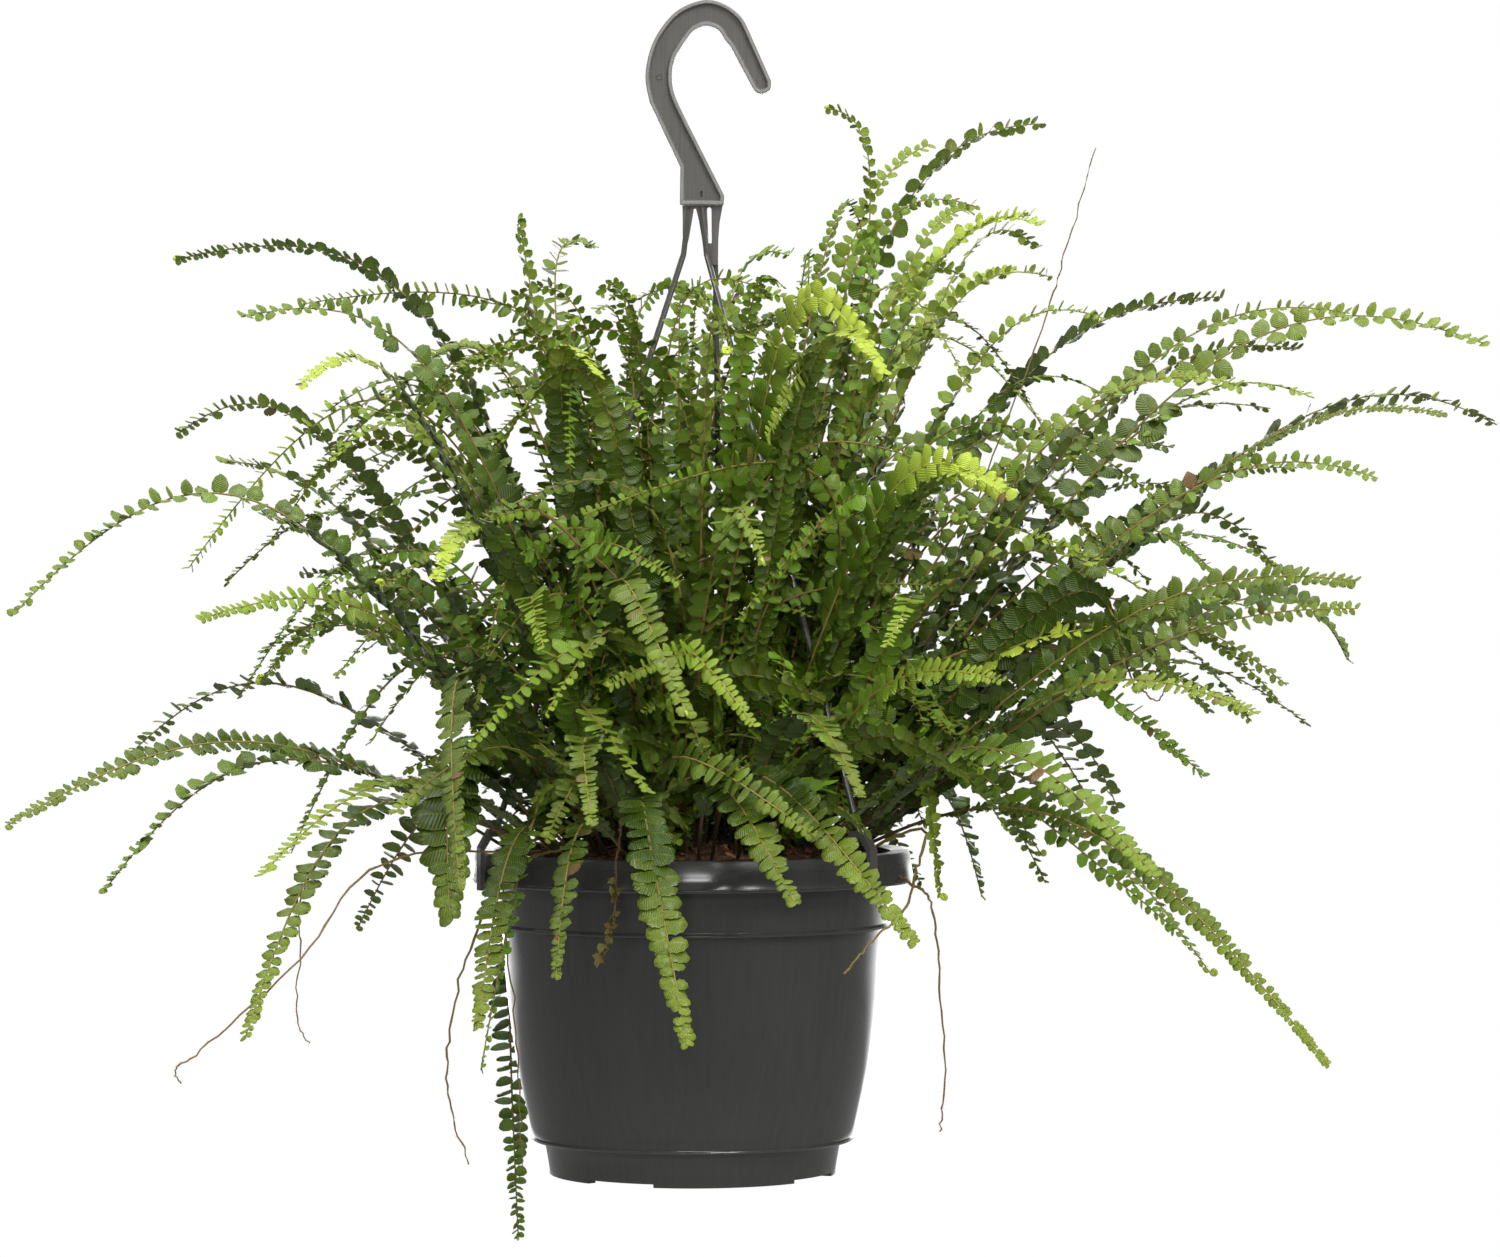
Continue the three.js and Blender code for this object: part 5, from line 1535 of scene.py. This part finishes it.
class FERN_OT_runners(bpy.types.Operator):
    """Model the bare wiry runners and dried midribs that trail from the plant"""
    bl_idname = "fern.runners"
    bl_label = "Runners"

    def execute(self, context):
        settings = context.scene.fern_leaflets
        leaflet = model_leaflet(settings, "smooth")
        materials = plant_materials(context.scene)
        rng = np.random.default_rng(700)
        gathering = Gathering()
        for points, radius, dryness in RUNNERS:
            line = catmull_rom(points, 9)
            count = len(line)
            line[1:-1] += rng.normal(0, 0.35, (count - 2, 3))
            forward = unit(np.gradient(line, axis=0))
            across = unit(np.cross(forward, UP + 0.3 * forward[:, ::-1]))
            up = np.cross(across, forward)
            radii = radius * (1 - 0.45 * np.linspace(0, 1, count)) * rng.uniform(0.85, 1.15, count)
            add_tube(gathering, line, across, up, radii, 6, STALK, (1.0, 0, dryness, 1))
            self.hairs(gathering, line, forward, across, up, settings, rng)
            if dryness > 0.95:
                self.withered(gathering, line, leaflet, rng)
        piece = gathering.make("wiry_runners", materials)
        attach(piece, "root")
        return {"FINISHED"}

    def withered(self, gathering, line, leaflet, rng):
        """Curled brown leaflets, left on the last third of a dried frond."""
        shape, faces, uv = leaflet
        for at in np.linspace(0.62, 1.0, 16):
            place = line[min(int(at * len(line)), len(line) - 1)] + rng.normal(0, 0.5, 3)
            axes, _ = np.linalg.qr(rng.normal(size=(3, 3)))
            size = rng.uniform(2.6, 4.6)
            local = shape * (size, size * 0.8, size)
            local[:, 2] += 0.55 * size * np.sin(uv[:, 0] * 2.6) - 0.5 * size * (uv[:, 1] * 2 - 1) ** 2
            turned_over = np.linalg.det(axes) < 0
            gathering.add(place + local @ axes.T, faces[:, ::-1] if turned_over else faces, LEAF,
                          (0.9, 0, rng.uniform(0.6, 0.9), 1), uv)

    def hairs(self, gathering, line, forward, across, up, settings, rng):
        """Short pale hairs all along a runner."""
        count = len(line) * 7
        at = rng.uniform(0, len(line) - 1.001, count)
        low = at.astype(int)
        share = (at - low)[:, None]
        place = line[low] * (1 - share) + line[low + 1] * share
        angle = rng.uniform(0, 2 * math.pi, count)[:, None]
        out = unit(across[low] * np.cos(angle) + up[low] * np.sin(angle) + forward[low] * 0.3)
        side = unit(np.cross(out, forward[low]))
        reach = settings.hair_length / MM * rng.uniform(0.6, 1.3, count)[:, None] + 0.4
        add_spikes(gathering, (place + side * HAIR_RADIUS, place - side * HAIR_RADIUS,
                               place + forward[low] * HAIR_RADIUS, place + out * reach))


class FERN_OT_studio(bpy.types.Operator):
    """Set the pale floor, the soft lights and the camera at the photograph's angle"""
    bl_idname = "fern.studio"
    bl_label = "Studio"

    def execute(self, context):
        settings = context.scene.studio
        clear_selection()
        bpy.ops.mesh.primitive_circle_add(vertices=96, radius=3.0, fill_type="NGON",
                                          location=(0, 0, -settings.drop))
        floor = bpy.context.object
        floor.name = floor.data.name = "studio_floor"
        bpy.ops.object.mode_set(mode="EDIT")
        bpy.ops.mesh.select_all(action="SELECT")
        bpy.ops.mesh.extrude_region_move(TRANSFORM_OT_translate={"value": (0, 0, 0.01)})
        bpy.ops.object.mode_set(mode="OBJECT")
        finish_piece(floor, [studio_paper()])
        self.lights(settings)
        self.camera(context)
        context.scene.view_settings.view_transform = "Standard"
        return {"FINISHED"}

    def lights(self, settings):
        world = bpy.data.worlds.new("white_surround")
        bpy.context.scene.world = world
        world.use_nodes = True
        tree = world.node_tree
        # White to the eye. Gloss finds it bright behind the plant, weaker overhead and nearly dark elsewhere.
        path = add_node(tree, "ShaderNodeLightPath")
        where = add_node(tree, "ShaderNodeTexCoord")
        axes = add_node(tree, "ShaderNodeSeparateXYZ", links={"Vector": where.outputs["Generated"]})
        behind = add_node(tree, "ShaderNodeMapRange",
                          {"From Min": 0.88, "From Max": 0.97, "To Min": 0.1 - settings.sky,
                           "To Max": 4.0 - settings.sky},
                          {"Value": axes.outputs["Y"]})
        above = add_node(tree, "ShaderNodeMapRange", {"From Min": 0.45, "From Max": 0.75, "To Max": 1.0},
                         {"Value": axes.outputs["Z"]})
        gloss = add_node(tree, "ShaderNodeMath", links={0: behind.outputs[0], 1: above.outputs[0]},
                         operation="ADD")
        gloss = add_node(tree, "ShaderNodeMath", {2: settings.sky},
                         {0: path.outputs["Is Glossy Ray"], 1: gloss.outputs[0]}, operation="MULTIPLY_ADD")
        strength = add_node(tree, "ShaderNodeMath", operation="MAXIMUM",
                            links={0: gloss.outputs[0], 1: path.outputs["Is Camera Ray"]})
        background = tree.nodes["Background"]
        background.inputs["Color"].default_value = (1, 1, 1, 1)
        tree.links.new(strength.outputs[0], background.inputs["Strength"])
        target = Vector((0, 0, -0.3))
        for name, place, wide, high, power in (("key", (0.8, -1.6, 1.4), 0.8, 0.8, settings.key),
                                               ("front", (0.12, -2.4, 0.4), 1.2, 0.36, settings.fill * 1.6),
                                               ("top", (-0.3, -0.2, 1.7), 1.4, 1.4, settings.fill * 2.0)):
            light = bpy.data.lights.new(name, "AREA")
            light.shape = "RECTANGLE"
            light.size, light.size_y = wide, high
            light.energy = power
            lamp = bpy.data.objects.new(name, light)
            lamp.location = place
            lamp.rotation_euler = (target - Vector(place)).to_track_quat("-Z", "Y").to_euler()
            bpy.context.collection.objects.link(lamp)

    def camera(self, context):
        """The photograph was taken from about 2.2 m and 12 cm above the pot's rim, looking almost level, as
        the ellipses of the rim and of the pot's two steps tell."""
        data = bpy.data.cameras.new("photograph_view")
        data.sensor_width = 36.0
        data.lens = 129.6
        data.clip_end = 50
        camera = bpy.data.objects.new("photograph_view", data)
        camera.location = (0.0179, -2.2, -0.2151)
        camera.rotation_euler = (math.radians(90 - 0.78), 0, 0)
        context.collection.objects.link(camera)
        context.scene.camera = camera


class FERN_PT_panel(bpy.types.Panel):
    """Lists the sizes, colours and pieces of the hanging fern"""
    bl_idname = "FERN_PT_panel"
    bl_label = "Button fern"
    bl_space_type = "VIEW_3D"
    bl_region_type = "UI"
    bl_category = "Button fern"

    def draw(self, context):
        for group in ("fern_leaflets", "fern_colours", "planter", "studio"):
            settings = getattr(context.scene, group)
            box = self.layout.box()
            for key in settings.__annotations__:
                box.prop(settings, key)
        for operator in OPERATORS:
            self.layout.operator(operator.bl_idname)


OPERATORS = (FERN_OT_pot, FERN_OT_hanger, FERN_OT_soil, FERN_OT_fronds, FERN_OT_tufts, FERN_OT_inner_fronds,
             FERN_OT_runners, FERN_OT_studio)
GROUPS = {"fern_leaflets": FernLeafletSettings, "fern_colours": FernColourSettings,
          "planter": PlanterSettings, "studio": StudioSettings}


def register():
    for kind in (*GROUPS.values(), *OPERATORS, FERN_PT_panel):
        bpy.utils.register_class(kind)
    for name, kind in GROUPS.items():
        setattr(bpy.types.Scene, name, PointerProperty(type=kind))


def unregister():
    for name in GROUPS:
        delattr(bpy.types.Scene, name)
    for kind in (FERN_PT_panel, *reversed(OPERATORS), *GROUPS.values()):
        bpy.utils.unregister_class(kind)


def main():
    register()
    for operator in OPERATORS:
        group, name = operator.bl_idname.split(".")
        getattr(getattr(bpy.ops, group), name)()
    clear_selection()


if __name__ == "__main__":
    main()
